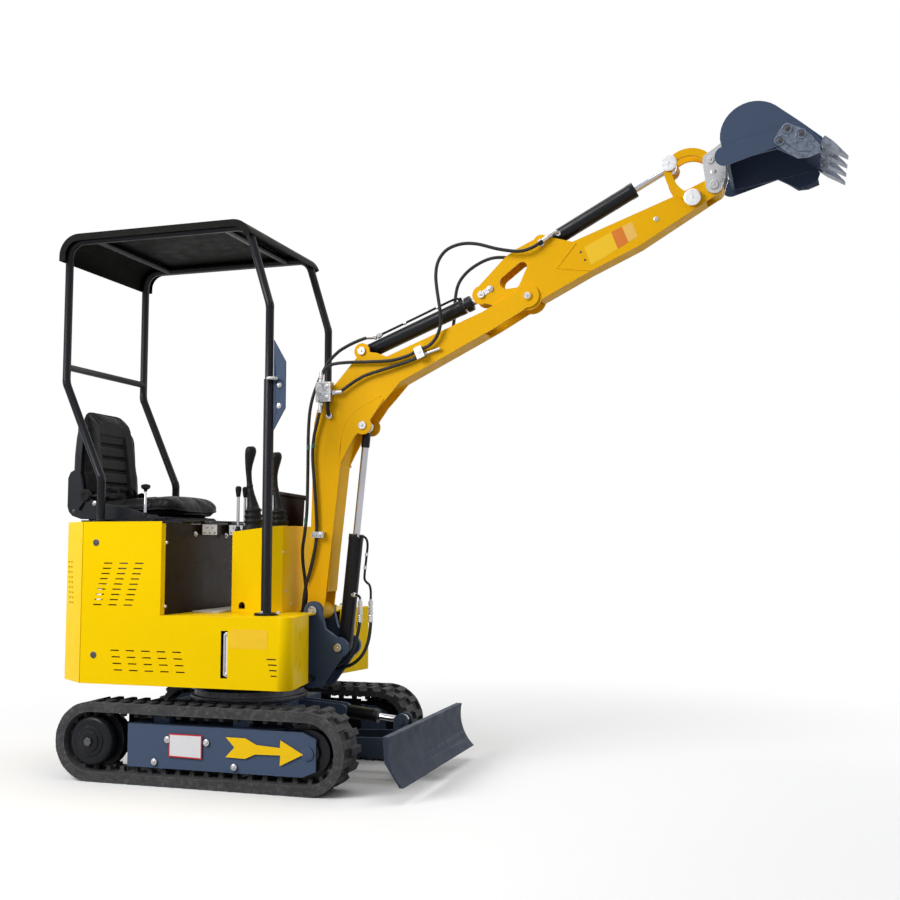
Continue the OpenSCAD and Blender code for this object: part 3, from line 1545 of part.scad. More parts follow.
// Hoses: a smooth line through the points, and a ring of corners about each of its places
function hose_spot(p, i, u) =
    let (a = p[max(i - 1, 0)], b = p[i], c = p[i + 1], d = p[min(i + 2, len(p) - 1)])
    b + (c - a) * u / 2 + (2 * a - 5 * b + 4 * c - d) * u * u / 2 + (3 * b - a - 3 * c + d) * u * u * u / 2;
function hose_line(p) =
    concat([for (i = [0 : len(p) - 2], k = [0 : hose_steps - 1]) hose_spot(p, i, k / hose_steps)],
        [p[len(p) - 1]]);
function hose_way(p, i) = let (w = p[min(i + 1, len(p) - 1)] - p[max(i - 1, 0)]) w / norm(w);
function hose_ring(p, i) =
    let (w = hose_way(p, i), across = cross([0, 1, 0], w), u = across / norm(across), v = cross(w, u))
    [for (k = [0 : hose_sides - 1]) let (t = 360 * k / hose_sides) p[i] + hose_r * (cos(t) * u + sin(t) * v)];
module hose(points) {
    line = hose_line(points);
    n = hose_sides;
    last = (len(line) - 1) * n;
    color(rubber)
        polyhedron(points = [for (i = [0 : len(line) - 1]) each hose_ring(line, i)],
            faces = concat([[for (k = [0 : n - 1]) k], [for (k = [n - 1 : -1 : 0]) last + k]],
                [for (i = [0 : len(line) - 2], k = [0 : n - 1])
                    let (a = i * n + k, b = i * n + (k + 1) % n)
                    each [[a, a + n, b + n], [a, b + n, b]]]));
}
module hose_run_upper() hose(run_upper_points);
module hose_run_lower() hose(run_lower_points);
module hose_loop_right() hose(loop_right_points);
module hose_loop_left() hose(loop_left_points);
module hose_foot_rear() hose(foot_rear_points);
module hose_foot_side() hose(foot_side_points);
module hose_lift_rear() hose(lift_rear_points);
module hose_lift_front() hose(lift_front_points);

placed() track_right();
placed() track_left();
placed() track_frame_right();
placed() track_frame_left();
placed() sprocket_right();
placed() sprocket_left();
placed() idler_right();
placed() idler_left();
placed() rollers_right();
placed() rollers_left();
placed() centre_frame();
placed() slew_ring();
placed() blade();
placed() blade_barrel();
placed() blade_rod();
placed() house_platform();
placed() side_panel_right();
placed() side_panel_left();
placed() rear_panel();
placed() bulkhead();
placed() deck();
placed() floor_mat();
placed() engine_block();
placed() counterweight();
placed() bay_rails();
placed() boom_bracket();
placed() console();
placed() guard_panel();
placed() joysticks();
placed() travel_levers();
placed() throttle_lever();
placed() canopy_hoops();
placed() canopy_roof();
placed() accessory_plate();
placed() seat_deck();
placed() seat_shell();
placed() seat_cushion();
placed() seat_back();
placed() boom();
placed() hose_clamps();
placed() boom_barrel();
placed() boom_rod();
placed() arm();
placed() arm_barrel();
placed() arm_rod();
placed() bucket_barrel();
placed() bucket_rod();
placed() bucket_lever();
placed() bucket_link();
placed() bucket();
placed() bucket_ears();
placed() bucket_teeth();
placed() hose_run_upper();
placed() hose_run_lower();
placed() hose_loop_right();
placed() hose_loop_left();
placed() hose_foot_rear();
placed() hose_foot_side();
placed() hose_lift_rear();
placed() hose_lift_front();
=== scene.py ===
"""Looks of the mini excavator: camera, hoses, finishes, seat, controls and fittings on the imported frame."""

import json
from math import copysign, cos, exp, pi, radians, sin

import bmesh
import bpy
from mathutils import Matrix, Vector


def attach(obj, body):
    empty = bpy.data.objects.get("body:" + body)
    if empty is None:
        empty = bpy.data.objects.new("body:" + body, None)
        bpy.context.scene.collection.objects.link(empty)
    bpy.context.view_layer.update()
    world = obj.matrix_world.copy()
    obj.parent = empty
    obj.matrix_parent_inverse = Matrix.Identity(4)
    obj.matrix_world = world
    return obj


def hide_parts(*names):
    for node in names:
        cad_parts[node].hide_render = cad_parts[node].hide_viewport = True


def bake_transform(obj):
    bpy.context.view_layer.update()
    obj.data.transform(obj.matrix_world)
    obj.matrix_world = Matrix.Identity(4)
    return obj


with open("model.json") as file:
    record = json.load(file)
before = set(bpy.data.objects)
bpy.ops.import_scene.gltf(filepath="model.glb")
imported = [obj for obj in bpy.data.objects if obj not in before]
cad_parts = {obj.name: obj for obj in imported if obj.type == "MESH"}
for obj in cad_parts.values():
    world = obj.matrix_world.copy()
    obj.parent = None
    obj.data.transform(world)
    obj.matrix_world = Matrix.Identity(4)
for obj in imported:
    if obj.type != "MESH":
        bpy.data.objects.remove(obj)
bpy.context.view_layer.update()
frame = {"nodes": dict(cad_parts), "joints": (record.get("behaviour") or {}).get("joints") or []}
nodes = frame["nodes"]
joints = {joint["name"]: joint for joint in frame["joints"]}

# Places are given in millimetres from the slew axis and the ground
MM = 0.001
SLEW_X = joints["slew"]["pos_m"][0]
FRONT, RIGHT, UP = Vector((1, 0, 0)), Vector((0, -1, 0)), Vector((0, 0, 1))
SIDES = (-1, 1)


def at(x, y, z):
    """A point in millimetres from the slew axis and the ground, as metres in the row frame."""
    return Vector((SLEW_X + x * MM, y * MM, z * MM))


def add_object(name, data):
    made = bpy.data.objects.new(name, data)
    bpy.context.scene.collection.objects.link(made)
    return made


# Camera of the photograph
CAMERA_PLACE = at(2283.6, -4432.2, 958.0)
CAMERA_AZIMUTH = 17.32
CAMERA_ELEVATION = -4.65
CAMERA_LENS = 45.11
SENSOR = 36.0


def make_camera():
    a, e = radians(CAMERA_AZIMUTH), radians(CAMERA_ELEVATION)
    back = Vector((sin(a) * cos(e), -cos(a) * cos(e), sin(e)))
    data = bpy.data.cameras.new("camera")
    data.lens = CAMERA_LENS
    data.sensor_width = SENSOR
    camera = add_object("camera", data)
    camera.location = CAMERA_PLACE
    camera.rotation_euler = back.to_track_quat("Z", "Y").to_euler()
    bpy.context.scene.camera = camera


make_camera()


# Material tools: sockets of the colour mix, and where an edge or a noise starts and is full
MIX_FACTOR, MIX_BASE, MIX_OVER, MIX_RESULT = 0, 6, 7, 2
EDGE_SAMPLES = 4
EDGE_STARTS, EDGE_FULL = 0.995, 0.90
NOISE_STARTS, NOISE_FULL = 0.3, 0.7


def set_inputs(node, values):
    """Sets a node's inputs by name."""
    for key, value in values.items():
        node.inputs[key].default_value = value


class Shader:
    """A principled material whose colour, roughness and bump come from object coordinates."""

    def __init__(self, name, colour, roughness, metallic=0.0):
        self.material = bpy.data.materials.new(name)
        self.material.use_nodes = True
        self.tree = self.material.node_tree
        self.bsdf = self.tree.nodes["Principled BSDF"]
        self.place = self.node("ShaderNodeTexCoord").outputs["Object"]
        set_inputs(self.bsdf, {"Base Color": (*colour, 1), "Roughness": roughness, "Metallic": metallic})
        self.material.diffuse_color = (*colour, 1)

    def node(self, kind, inputs=None, **settings):
        made = self.tree.nodes.new(kind)
        for key, value in settings.items():
            setattr(made, key, value)
        set_inputs(made, inputs or {})
        return made

    def shine(self, level):
        set_inputs(self.bsdf, {"Specular IOR Level": level})

    def link(self, out, into):
        self.tree.links.new(out, into)

    def noise(self, scale, detail=4.0, roughness=0.55):
        made = self.node("ShaderNodeTexNoise", {"Scale": scale, "Detail": detail, "Roughness": roughness})
        self.link(self.place, made.inputs["Vector"])
        return made.outputs["Fac"]

    def cells(self, scale, feature="F1"):
        made = self.node("ShaderNodeTexVoronoi", {"Scale": scale}, feature=feature)
        self.link(self.place, made.inputs["Vector"])
        return made.outputs["Distance"]

    def span(self, value, low, high, to_low=0.0, to_high=1.0):
        made = self.node("ShaderNodeMapRange", {
            "From Min": low, "From Max": high, "To Min": to_low, "To Max": to_high}, clamp=True)
        self.link(value, made.inputs["Value"])
        return made.outputs["Result"]

    def times(self, a, b):
        """A value times a number or another value."""
        made = self.node("ShaderNodeMath", operation="MULTIPLY")
        self.link(a, made.inputs[0])
        if isinstance(b, (int, float)):
            made.inputs[1].default_value = b
        else:
            self.link(b, made.inputs[1])
        return made.outputs["Value"]

    def facing_up(self):
        normal = self.node("ShaderNodeNewGeometry").outputs["Normal"]
        made = self.node("ShaderNodeSeparateXYZ")
        self.link(normal, made.inputs["Vector"])
        return made.outputs["Z"]

    def edges(self, radius):
        """1 along worn edges: the rounded normal against the true one."""
        soft = self.node("ShaderNodeBevel", {"Radius": radius}, samples=EDGE_SAMPLES)
        true = self.node("ShaderNodeNewGeometry").outputs["Normal"]
        dot = self.node("ShaderNodeVectorMath", operation="DOT_PRODUCT")
        self.link(soft.outputs["Normal"], dot.inputs[0])
        self.link(true, dot.inputs[1])
        return self.span(dot.outputs["Value"], EDGE_STARTS, EDGE_FULL)

    def tint(self, factor, colour):
        """Mixes a colour over what the base colour has so far."""
        mix = self.node("ShaderNodeMix", data_type="RGBA")
        base = self.bsdf.inputs["Base Color"]
        if base.is_linked:
            self.link(base.links[0].from_socket, mix.inputs[MIX_BASE])
        else:
            mix.inputs[MIX_BASE].default_value = base.default_value
        mix.inputs[MIX_OVER].default_value = (*colour, 1)
        self.link(factor, mix.inputs[MIX_FACTOR])
        self.link(mix.outputs[MIX_RESULT], base)

    def spots(self, colour, low, high, amount, *noise):
        """Tints where a noise is high; the noise has a scale, a detail and a roughness."""
        self.tint(self.times(self.span(self.noise(*noise), low, high), amount), colour)

    def roughen(self, low, high, *noise):
        """Roughness that a noise moves between two values."""
        value = self.span(self.noise(*noise), NOISE_STARTS, NOISE_FULL, low, high)
        self.link(value, self.bsdf.inputs["Roughness"])

    def bump(self, height, strength, distance):
        """Adds a bump to those that the material has so far."""
        made = self.node("ShaderNodeBump", {"Strength": strength, "Distance": distance})
        self.link(height, made.inputs["Height"])
        normal = self.bsdf.inputs["Normal"]
        if normal.is_linked:
            self.link(normal.links[0].from_socket, made.inputs["Normal"])
        self.link(made.outputs["Normal"], normal)


def shade(colour, factor):
    return tuple(min(1.0, c * factor) for c in colour)


# Colours that more than one finish has, and what lies on the paint
BOOM_YELLOW = (0.93, 0.49, 0.006)
CHIP_GREY = (0.5, 0.5, 0.51)
DRY_DUST = (0.45, 0.42, 0.38)


def paint(name, colour, gloss, wear=0.2, dust=0.01, shine=0.05):
    """Sprayed paint: slight orange peel, thin dust on upward faces and worn edges."""
    s = Shader(name, colour, gloss)
    s.shine(shine)
    s.spots(shade(colour, 0.95), 0.35, 0.7, 1, 2.2, 3)
    s.spots(shade(colour, 0.72), 0.58, 0.78, dust * 1.6, 14, 6, 0.65)
    if wear:
        chips = s.times(s.edges(0.003), s.span(s.noise(38, 5, 0.7), 0.52, 0.62))
        s.tint(s.times(chips, wear), CHIP_GREY)
    film = s.times(s.span(s.facing_up(), 0.55, 0.95), s.span(s.noise(7, 6, 0.7), 0.35, 0.75))
    s.tint(s.times(film, dust), DRY_DUST)
    s.roughen(gloss - 0.05, gloss + 0.12, 18, 4)
    s.bump(s.noise(420, 2), 0.05, 0.0006)
    return s.material


def bare_metal(name, colour, roughness, dirt=0.35):
    """Plated or bare steel with a fine grain and dull spots."""
    s = Shader(name, colour, roughness, 1.0)
    s.spots(shade(colour, 0.42), 0.5, 0.8, dirt, 60, 5, 0.7)
    s.roughen(roughness - 0.08, roughness + 0.14, 90, 4)
    s.bump(s.noise(500, 3), 0.08, 0.0004)
    return s.material


def cast_finish(name, colour):
    """Rough casting under a thin glossy coat."""
    s = Shader(name, colour, 0.34, 0.8)
    s.spots(shade(colour, 0.35), 0.45, 0.7, 1, 70, 5, 0.7)
    s.roughen(0.26, 0.44, 60, 4)
    s.bump(s.noise(150, 5, 0.7), 0.5, 0.0025)
    return s.material


def chrome_finish(name):
    """Hard chrome of a rod, with a faint mottle and a fine grain."""
    s = Shader(name, (0.46, 0.46, 0.49), 0.1, 1.0)
    s.spots((0.36, 0.36, 0.39), 0.4, 0.8, 1, 5, 3)
    s.roughen(0.06, 0.16, 30, 3)
    s.bump(s.noise(900, 2), 0.02, 0.0003)
    return s.material


def rubber_finish(name, colour):
    """Moulded rubber: mottled, dry and dusty where it is raised."""
    s = Shader(name, colour, 0.82)
    s.shine(0.3)
    s.spots(shade(colour, 1.5), 0.4, 0.75, 1, 11, 6, 0.7)
    s.spots((0.19, 0.18, 0.165), 0.5, 0.72, 0.5, 48, 6, 0.75)
    s.tint(s.times(s.edges(0.006), 0.35), (0.16, 0.155, 0.15))
    s.roughen(0.7, 0.92, 25, 4)
    s.bump(s.noise(160, 5, 0.7), 0.22, 0.0012)
    return s.material


def plastic_finish(name, colour, roughness):
    """Moulded plastic with an eroded texture."""
    s = Shader(name, colour, roughness)
    s.shine(0.12)
    s.spots(shade(colour, 1.35), 0.45, 0.8, 1, 8, 4)
    s.roughen(roughness - 0.06, roughness + 0.1, 40, 3)
    s.bump(s.cells(520), 0.12, 0.0005)
    return s.material


def vinyl_finish(name, colour):
    """Seat vinyl: leather grain, soft sheen and a little dust."""
    s = Shader(name, colour, 0.42)
    s.shine(0.1)
    s.spots(shade(colour, 2.0), 0.5, 0.8, 0.5, 9, 5)
    s.roughen(0.34, 0.48, 30, 4)
    s.bump(s.cells(430, "DISTANCE_TO_EDGE"), 0.22, 0.0007)
    s.bump(s.noise(70, 4), 0.08, 0.0012)
    return s.material


def hose_finish(name):
    """Hydraulic hose: black rubber cover with the print of its wrapping cloth."""
    s = Shader(name, (0.014, 0.014, 0.015), 0.46)
    s.shine(0.25)
    s.spots((0.05, 0.05, 0.052), 0.45, 0.75, 0.7, 30, 5)
    s.roughen(0.4, 0.6, 60, 3)
    s.bump(s.cells(700), 0.2, 0.0005)
    return s.material


def label_finish(name, colour):
    """A blank printed foil, a little scuffed."""
    s = Shader(name, colour, 0.35)
    s.shine(0.25)
    s.spots(shade(colour, 0.8), 0.5, 0.8, 0.35, 26, 5, 0.7)
    s.roughen(0.3, 0.5, 40, 3)
    s.bump(s.noise(300, 2), 0.04, 0.0004)
    return s.material


def painted_light_mat_finish(name):
    """Ribbed floor mat under dry dust; its base and light patches are made paler as painted light falling in
    from the open front.
    """
    s = Shader(name, (0.48, 0.47, 0.45), 0.85)
    s.spots((0.66, 0.65, 0.63), 0.35, 0.7, 1, 16, 6, 0.7)
    s.spots((0.08, 0.08, 0.08), 0.55, 0.75, 0.6, 90, 5, 0.7)
    s.roughen(0.75, 0.95, 30, 3)
    s.bump(s.noise(220, 4), 0.3, 0.0015)
    return s.material


FINISH = {
    "house": paint("house_yellow_paint", (1.0, 0.66, 0.0), 0.3, wear=0.15),
    "boom": paint("boom_yellow_paint", BOOM_YELLOW, 0.34, wear=0.15),
    "link": paint("link_yellow_paint", BOOM_YELLOW, 0.34, wear=0),
    "slate": paint("slate_paint", (0.071, 0.102, 0.170), 0.4, wear=0.3, dust=0.03, shine=0.08),
    # The blade has the slate paint darkened as painted shade, standing in for the shadow on its concave front
    # face
    "blade": paint("blade_slate_with_painted_shade", (0.042, 0.054, 0.080), 0.42, wear=0.3, dust=0.03),
    "cutter": cast_finish("cutter_casting", (0.16, 0.19, 0.25)),
    "roof": paint("roof_paint", (0.012, 0.012, 0.011), 0.45, wear=0.1, shine=0.02),
    "black": paint("black_paint", (0.009, 0.010, 0.013), 0.28, shine=0.16),
    "dark": paint("bulkhead_paint", (0.016, 0.009, 0.006), 0.3, shine=0.12),
    "rubber": rubber_finish("track_rubber", (0.038, 0.038, 0.041)),
    "iron": bare_metal("dark_iron", (0.10, 0.10, 0.11), 0.5, dirt=0.6),
    "steel": bare_metal("zinc_steel", (0.52, 0.52, 0.54), 0.3),
    "tooth": cast_finish("tooth_casting", (0.24, 0.27, 0.33)),
    "silver": bare_metal("bright_steel", (0.70, 0.71, 0.73), 0.34, dirt=0.15),
    "chrome": chrome_finish("rod_chrome"),
    "plastic": plastic_finish("black_plastic", (0.010, 0.010, 0.011), 0.42),
    "shell": plastic_finish("seat_shell_plastic", (0.016, 0.018, 0.022), 0.45),
    "vinyl": vinyl_finish("seat_vinyl", (0.008, 0.008, 0.009)),
    "hose": hose_finish("hose_rubber"),
    "mat": painted_light_mat_finish("floor_mat_rubber_painted_light"),
    "engine": bare_metal("engine_casting", (0.28, 0.28, 0.29), 0.5, dirt=0.6),
    "tape": label_finish("green_tape", (0.02, 0.16, 0.10)),
}
FOIL_COLOURS = {
    "white": (0.80, 0.80, 0.82), "red": (0.62, 0.022, 0.012), "arrow": (1.0, 0.62, 0.0),
    "orange": (0.78, 0.22, 0.03), "peach": (0.94, 0.56, 0.12), "lemon": (0.97, 0.60, 0.02),
}
for key, colour in FOIL_COLOURS.items():
    FINISH[key] = label_finish(key + "_foil", colour)

SOLIDS_BY_FINISH = {
    "rubber": "track_right track_left",
    "slate": "track_frame_right track_frame_left centre_frame boom_bracket accessory_plate bucket",
    "black": "sprocket_right sprocket_left idler_right idler_left blade_barrel house_platform bay_rails"
             " canopy_hoops seat_deck boom_barrel arm_barrel bucket_barrel",
    "iron": "rollers_right rollers_left slew_ring counterweight",
    "blade": "blade",
    "chrome": "blade_rod travel_levers throttle_lever boom_rod arm_rod bucket_rod",
    "house": "side_panel_right side_panel_left rear_panel deck console",
    "dark": "bulkhead guard_panel",
    "mat": "floor_mat",
    "engine": "engine_block",
    "plastic": "joysticks",
    "roof": "canopy_roof",
    "shell": "seat_shell",
    "vinyl": "seat_cushion seat_back",
    "boom": "boom arm",
    "steel": "hose_clamps bucket_ears",
    "link": "bucket_lever bucket_link",
    "tooth": "bucket_teeth",
    "hose": "hose_run_upper hose_run_lower hose_loop_right hose_loop_left hose_foot_rear hose_foot_side"
            " hose_lift_rear hose_lift_front",
}
WELD_REACH = 0.00001
SOLID_EDGE = 0.0012
EDGE_ANGLE = radians(40)


def soften(made, width, segments):
    """Rounds the sharp edges of an object."""
    bevel = made.modifiers.new("edge", "BEVEL")
    bevel.width = width
    bevel.segments = segments
    bevel.limit_method = "ANGLE"
    bevel.angle_limit = EDGE_ANGLE
    return bevel


def dress_solid(solid, finish):
    """A finish and softened edges on a solid of the frame."""
    solid.data.materials.clear()
    solid.data.materials.append(FINISH[finish])
    weld = solid.modifiers.new("weld", "WELD")
    weld.merge_threshold = WELD_REACH
    soften(solid, SOLID_EDGE, 2).harden_normals = True


for finish, names in SOLIDS_BY_FINISH.items():
    for name in names.split():
        dress_solid(nodes[name], finish)


# Mesh tools
def basis(axis):
    """Two directions square to an axis, and the axis."""
    w = Vector(axis).normalized()
    u = w.orthogonal().normalized()
    return u, w.cross(u), w


def circle(centre, u, v, radius, sides, lobes=0, depth=0.0):
    """Points about a centre; lobes make a star of it."""
    points = []
    for k in range(sides):
        a = 2 * pi * k / sides
        r = radius * (1 + depth * cos(lobes * a))
        points.append(centre + r * (cos(a) * u + sin(a) * v))
    return points


def join_rows(bm, a, b, closed=True):
    """Faces between two rows of points."""
    for k in range(len(a) if closed else len(a) - 1):
        j = (k + 1) % len(a)
        bm.faces.new((a[k], a[j], b[j], b[k]))


def loft(bm, rings):
    """Skin over rings of equal count, closed at both ends."""
    made = [[bm.verts.new(point) for point in ring] for ring in rings]
    for a, b in zip(made, made[1:]):
        join_rows(bm, a, b)
    bm.faces.new(list(reversed(made[0])))
    bm.faces.new(made[-1])


def turned(bm, place, axis, profile, sides=24, lobes=0, depth=0.0):
    """A lathe form: (along, radius) pairs in millimetres on an axis from a place."""
    u, v, w = basis(axis)
    loft(bm, [circle(place + w * s * MM, u, v, r * MM, sides, lobes, depth) for s, r in profile])


def swept(bm, line, radii, sides=14):
    """A round form along a line; radii in millimetres, one for all or one for each point."""
    if not isinstance(radii, (list, tuple)):
        radii = [radii] * len(line)
    rings, u = [], None
    for i, point in enumerate(line):
        w = (line[min(i + 1, len(line) - 1)] - line[max(i - 1, 0)]).normalized()
        u = (w.orthogonal() if u is None else u - w * u.dot(w)).normalized()
        rings.append(circle(point, u, w.cross(u), radii[i] * MM, sides))
    loft(bm, rings)


def side_plate(bm, outline, y, thick):
    """A plate with an (x, z) outline, from y outwards."""
    loft(bm, [[at(x, depth, z) for x, z in outline] for depth in (y, y + copysign(thick, y))])


def side_ring(bm, outer, inner, y, thick):
    """A flat ring between two (x, z) outlines of equal count, from y outwards."""
    far = y + copysign(thick, y)
    loops = []
    for outline, depth in ((outer, y), (outer, far), (inner, far), (inner, y)):
        loops.append([bm.verts.new(at(x, depth, z)) for x, z in outline])
    for a, b in zip(loops, loops[1:] + loops[:1]):
        join_rows(bm, a, b)


def arc(centre, r, first, last, count=12):
    """Points (x, z) on an arc, its angles in degrees."""
    turns = [radians(first + (last - first) * k / count) for k in range(count + 1)]
    return [(centre[0] + r * cos(t), centre[1] + r * sin(t)) for t in turns]


ROUND_STEPS = 8


def round_ends(a, b, r):
    """Outline of a bar with round ends between two (x, z) points."""
    line = Vector((b[0] - a[0], b[1] - a[1]))
    turn = Vector((1, 0)).angle_signed(line)
    points = []
    for centre, first in ((b, -pi / 2), (a, pi / 2)):
        for k in range(ROUND_STEPS + 1):
            t = first + pi * k / ROUND_STEPS - turn
            points.append((centre[0] + r * cos(t), centre[1] + r * sin(t)))
    return points


def smooth_line(points, steps):
    """A smooth line through points."""
    line = []
    for i in range(len(points) - 1):
        a, b = points[max(i - 1, 0)], points[i]
        c, d = points[i + 1], points[min(i + 2, len(points) - 1)]
        for k in range(steps):
            u = k / steps
            line.append(b + (c - a) * (u / 2) + (2 * a - 5 * b + 4 * c - d) * (u * u / 2)
                        + (3 * b - a - 3 * c + d) * (u * u * u / 2))
    return line + [points[-1]]


def places(points):
    return [at(*point) for point in points]


def make_piece(name, bm, finish, body=None, sharp=35):
    """An object from a mesh in hand, with smooth shading between its sharp edges."""
    bmesh.ops.recalc_face_normals(bm, faces=bm.faces)
    for edge in bm.edges:
        edge.smooth = edge.calc_face_angle(pi) < radians(sharp)
    for face in bm.faces:
        face.smooth = True
    mesh = bpy.data.meshes.new(name)
    bm.to_mesh(mesh)
    bm.free()
    mesh.materials.append(FINISH[finish])
    made = add_object(name, mesh)
    if body:
        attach(made, body)
    return made


kits = {}


def kit(body, finish):
    """The mesh that gathers a body's small fittings of one finish."""
    if (body, finish) not in kits:
        kits[body, finish] = bmesh.new()
    return kits[body, finish]


# Hoses: the routes of the frame's solids
HOSE_R = 7.0
HOSE_SIDES = 16
HOSES = {
    "hose_run_upper": ("boom", [
        (352, -73, 1630.3), (355, -73, 1658), (369, -73, 1684), (393, -73, 1701), (424, -73, 1708),
        (482, -73, 1710), (575, -73, 1708), (667, -72, 1709), (735, -70, 1724.1), (772.2, -70, 1739.1)]),
    "hose_run_lower": ("boom", [
        (405.6, -73, 1583), (430, -73, 1586), (456, -73, 1597), (484, -73, 1615), (518, -73, 1635),
        (562, -73, 1654), (650, -72, 1677), (744, -70, 1702), (781.2, -70, 1717)]),
    "hose_loop_right": (("boom", "arm", (860, -76, 1960), (1270, -68, 2141)), [
        (806.8, -70, 1753), (837, -71, 1766), (866, -73, 1797), (883, -75, 1845), (882, -76, 1905),
        (868, -76, 2000), (864, -76, 2062), (876, -76, 2116), (912, -76, 2158), (972, -76, 2177),
        (1040, -76, 2172), (1130, -75, 2144), (1215, -72, 2129), (1270, -68, 2141), (1312, -61, 2168),
        (1345, -53, 2193)]),
    "hose_loop_left": (("boom", "arm", (900, 76, 1960), (1270, 68, 2141)), [
        (806.8, 70, 1753), (837, 71, 1766), (868, 73, 1798), (889, 75, 1850), (898, 76, 1915),
        (902, 76, 1990), (917, 76, 2050), (954, 76, 2096), (1008, 76, 2130), (1061, 75, 2147),
        (1114, 75, 2147), (1170, 74, 2136), (1225, 72, 2130), (1270, 68, 2141), (1312, 61, 2168),
        (1345, 53, 2193)]),
    "hose_foot_rear": (("house", "boom", (270, -26, 640), (254, -26, 930)), [
        (200, -26, 561.5), (204, -26, 586.4), (215.7, -26, 608.8), (233.9, -26, 626.4), (252.3, -26, 644.2),
        (264, -26, 666.6), (268.5, -26, 691.5), (273, -26, 730), (266, -26, 800), (256, -26, 870),
        (254, -26, 930), (264, -26, 1005), (272, -26, 1100), (274, -26, 1260), (275, -26, 1430),
        (285, -26, 1540), (315, -26, 1632), (360, -26, 1715), (403, -26, 1760), (446, -26, 1786),
        (500, -26, 1808), (545, -26, 1820), (586, -26, 1821)]),
    "hose_foot_side": (("house", "boom", (270, -46, 640), (330, -66, 940)), [
        (352, -73, 1543.6), (349, -73, 1514), (335, -72, 1460), (320, -70, 1395), (315, -69, 1320),
        (321, -68, 1230), (330, -67, 1125), (335, -66, 1040), (335, -66, 987), (328, -66, 925),
        (308, -65, 842), (288, -60, 782), (275, -51, 732), (268.5, -46, 691.5), (264, -46, 666.6),
        (252.3, -46, 644.2), (233.9, -46, 626.4), (215.7, -46, 608.8), (204, -46, 586.4), (200, -46, 561.5)]),
    "hose_lift_rear": (("house", "boom_barrel", (300, -22, 446), (515, -22, 640)), [
        (516, -22, 667), (515, -22, 632), (509, -22, 590), (498, -22, 546), (480, -22, 502),
        (451, -22, 466), (408, -22, 448), (340, -22, 446), (270, -22, 450), (210.6, -22, 450)]),
    "hose_lift_front": (("house", "boom_barrel", (300, -4, 426), (556, -4, 640)), [
        (556, -4, 668), (556, -4, 613), (546, -4, 545), (520, -4, 488), (474, -4, 448),
        (412, -4, 430), (340, -4, 426), (270, -4, 430), (210.6, -4, 430)]),
}
TUBE_STEPS = 5


def make_hoses():
    """Each hose as a tube on its route, attached to its body, or left unattached where it joins two bodies.
    """
    for name, (hold, points) in HOSES.items():
        spots = places(points)
        bm = bmesh.new()
        swept(bm, smooth_line(spots, TUBE_STEPS), HOSE_R, HOSE_SIDES)
        hose = make_piece(name + "_cover", bm, "hose")
        if isinstance(hold, str):
            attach(hose, hold)
        else:
            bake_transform(hose)
        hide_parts(name)


make_hoses()


# Small fittings
HEX = 6


def lathe(body, finish, spot, axis, profile, sides=24):
    """A lathe form among a body's fittings."""
    turned(kit(body, finish), spot, axis, profile, sides)


def plate(body, finish, outline, y, thick):
    """A plate among a body's fittings."""
    side_plate(kit(body, finish), outline, y, thick)


def bolt(body, spot, axis, r=8.0, finish="steel"):
    """A hex bolt on its washer; r is the head's half width."""
    bm = kit(body, finish)
    turned(bm, spot, axis, [(0, 1.6 * r), (0.22 * r, 1.6 * r), (0.32 * r, 1.45 * r)], 20)
    turned(bm, spot, axis, [(0.2 * r, 1.12 * r), (0.95 * r, 1.12 * r), (1.1 * r, 0.95 * r)], HEX)
    turned(bm, spot, axis, [(0.9 * r, 0.62 * r), (1.3 * r, 0.62 * r), (1.42 * r, 0.5 * r)], 14)


def screw(body, spot, axis, r=6.0, finish="steel"):
    """A low round head with a socket."""
    lathe(body, finish, spot, axis, [(0, r), (0.35 * r, 0.96 * r), (0.6 * r, 0.7 * r), (0.62 * r, 0.4 * r),
                                     (0.3 * r, 0.36 * r), (0.28 * r, 0.1 * r)], 18)


def pin_face(body, x, z, half, r):
    """The polished end of a pin on both sides, with its grease nipple."""
    for side in SIDES:
        lathe(body, "steel", at(x, side * half, z), (0, side, 0),
              [(0, r), (2.2, r), (3.2, r - 1.4), (3.2, 0.62 * r), (2.4, 0.58 * r), (2.4, 4.6), (5.5, 4.4),
               (6.5, 3.0), (8.5, 3.2), (9.5, 2.0)], 32)


def pin_cap(body, x, z, half, r):
    """A wide plain disc on a pin's two ends, held by one small screw."""
    for side in SIDES:
        lathe(body, "silver", at(x, side * half, z), (0, side, 0),
              [(0, r), (2.6, r), (4.2, r - 2), (4.6, r - 6), (4.6, 6), (4.0, 5.2), (6.4, 4.6),
               (7.0, 3.0)], 48)


KEEPER_THICK = 3.0


def keeper(body, x, z, half, turn, reach, r):
    """A pin's keeper plate with its bolt, on both sides."""
    end = (x + reach * cos(radians(turn)), z + reach * sin(radians(turn)))
    for side in SIDES:
        plate(body, "steel", round_ends((x, z), end, r), side * half, KEEPER_THICK)
        bolt(body, at(end[0], side * (half + KEEPER_THICK), end[1]), (0, side, 0), 0.75 * r)


CRIMPS, CRIMP_START, CRIMP_STEP = 4, 16, 7


def hose_end(body, spot, inward):
    """Swivel nut and crimped sleeve on a hose's end; inward points along the hose."""
    lathe(body, "steel", spot, inward, [(0, 10.4), (1, 11.4), (12, 11.4), (13.5, 9.4)], HEX)
    sleeve = [(13, 8.4)]
    for k in range(CRIMPS):
        s = CRIMP_START + CRIMP_STEP * k
        sleeve += [(s, 9.2), (s + 1, 9.8), (s + 4, 9.8), (s + 5, 9.2)]
    lathe(body, "steel", spot, inward, sleeve + [(44, 9.0), (45, 7.6)], 20)


# Hoses whose route starts at the second of their two bodies
ROUTED_BACK = ("hose_foot_side", "hose_lift_rear", "hose_lift_front")


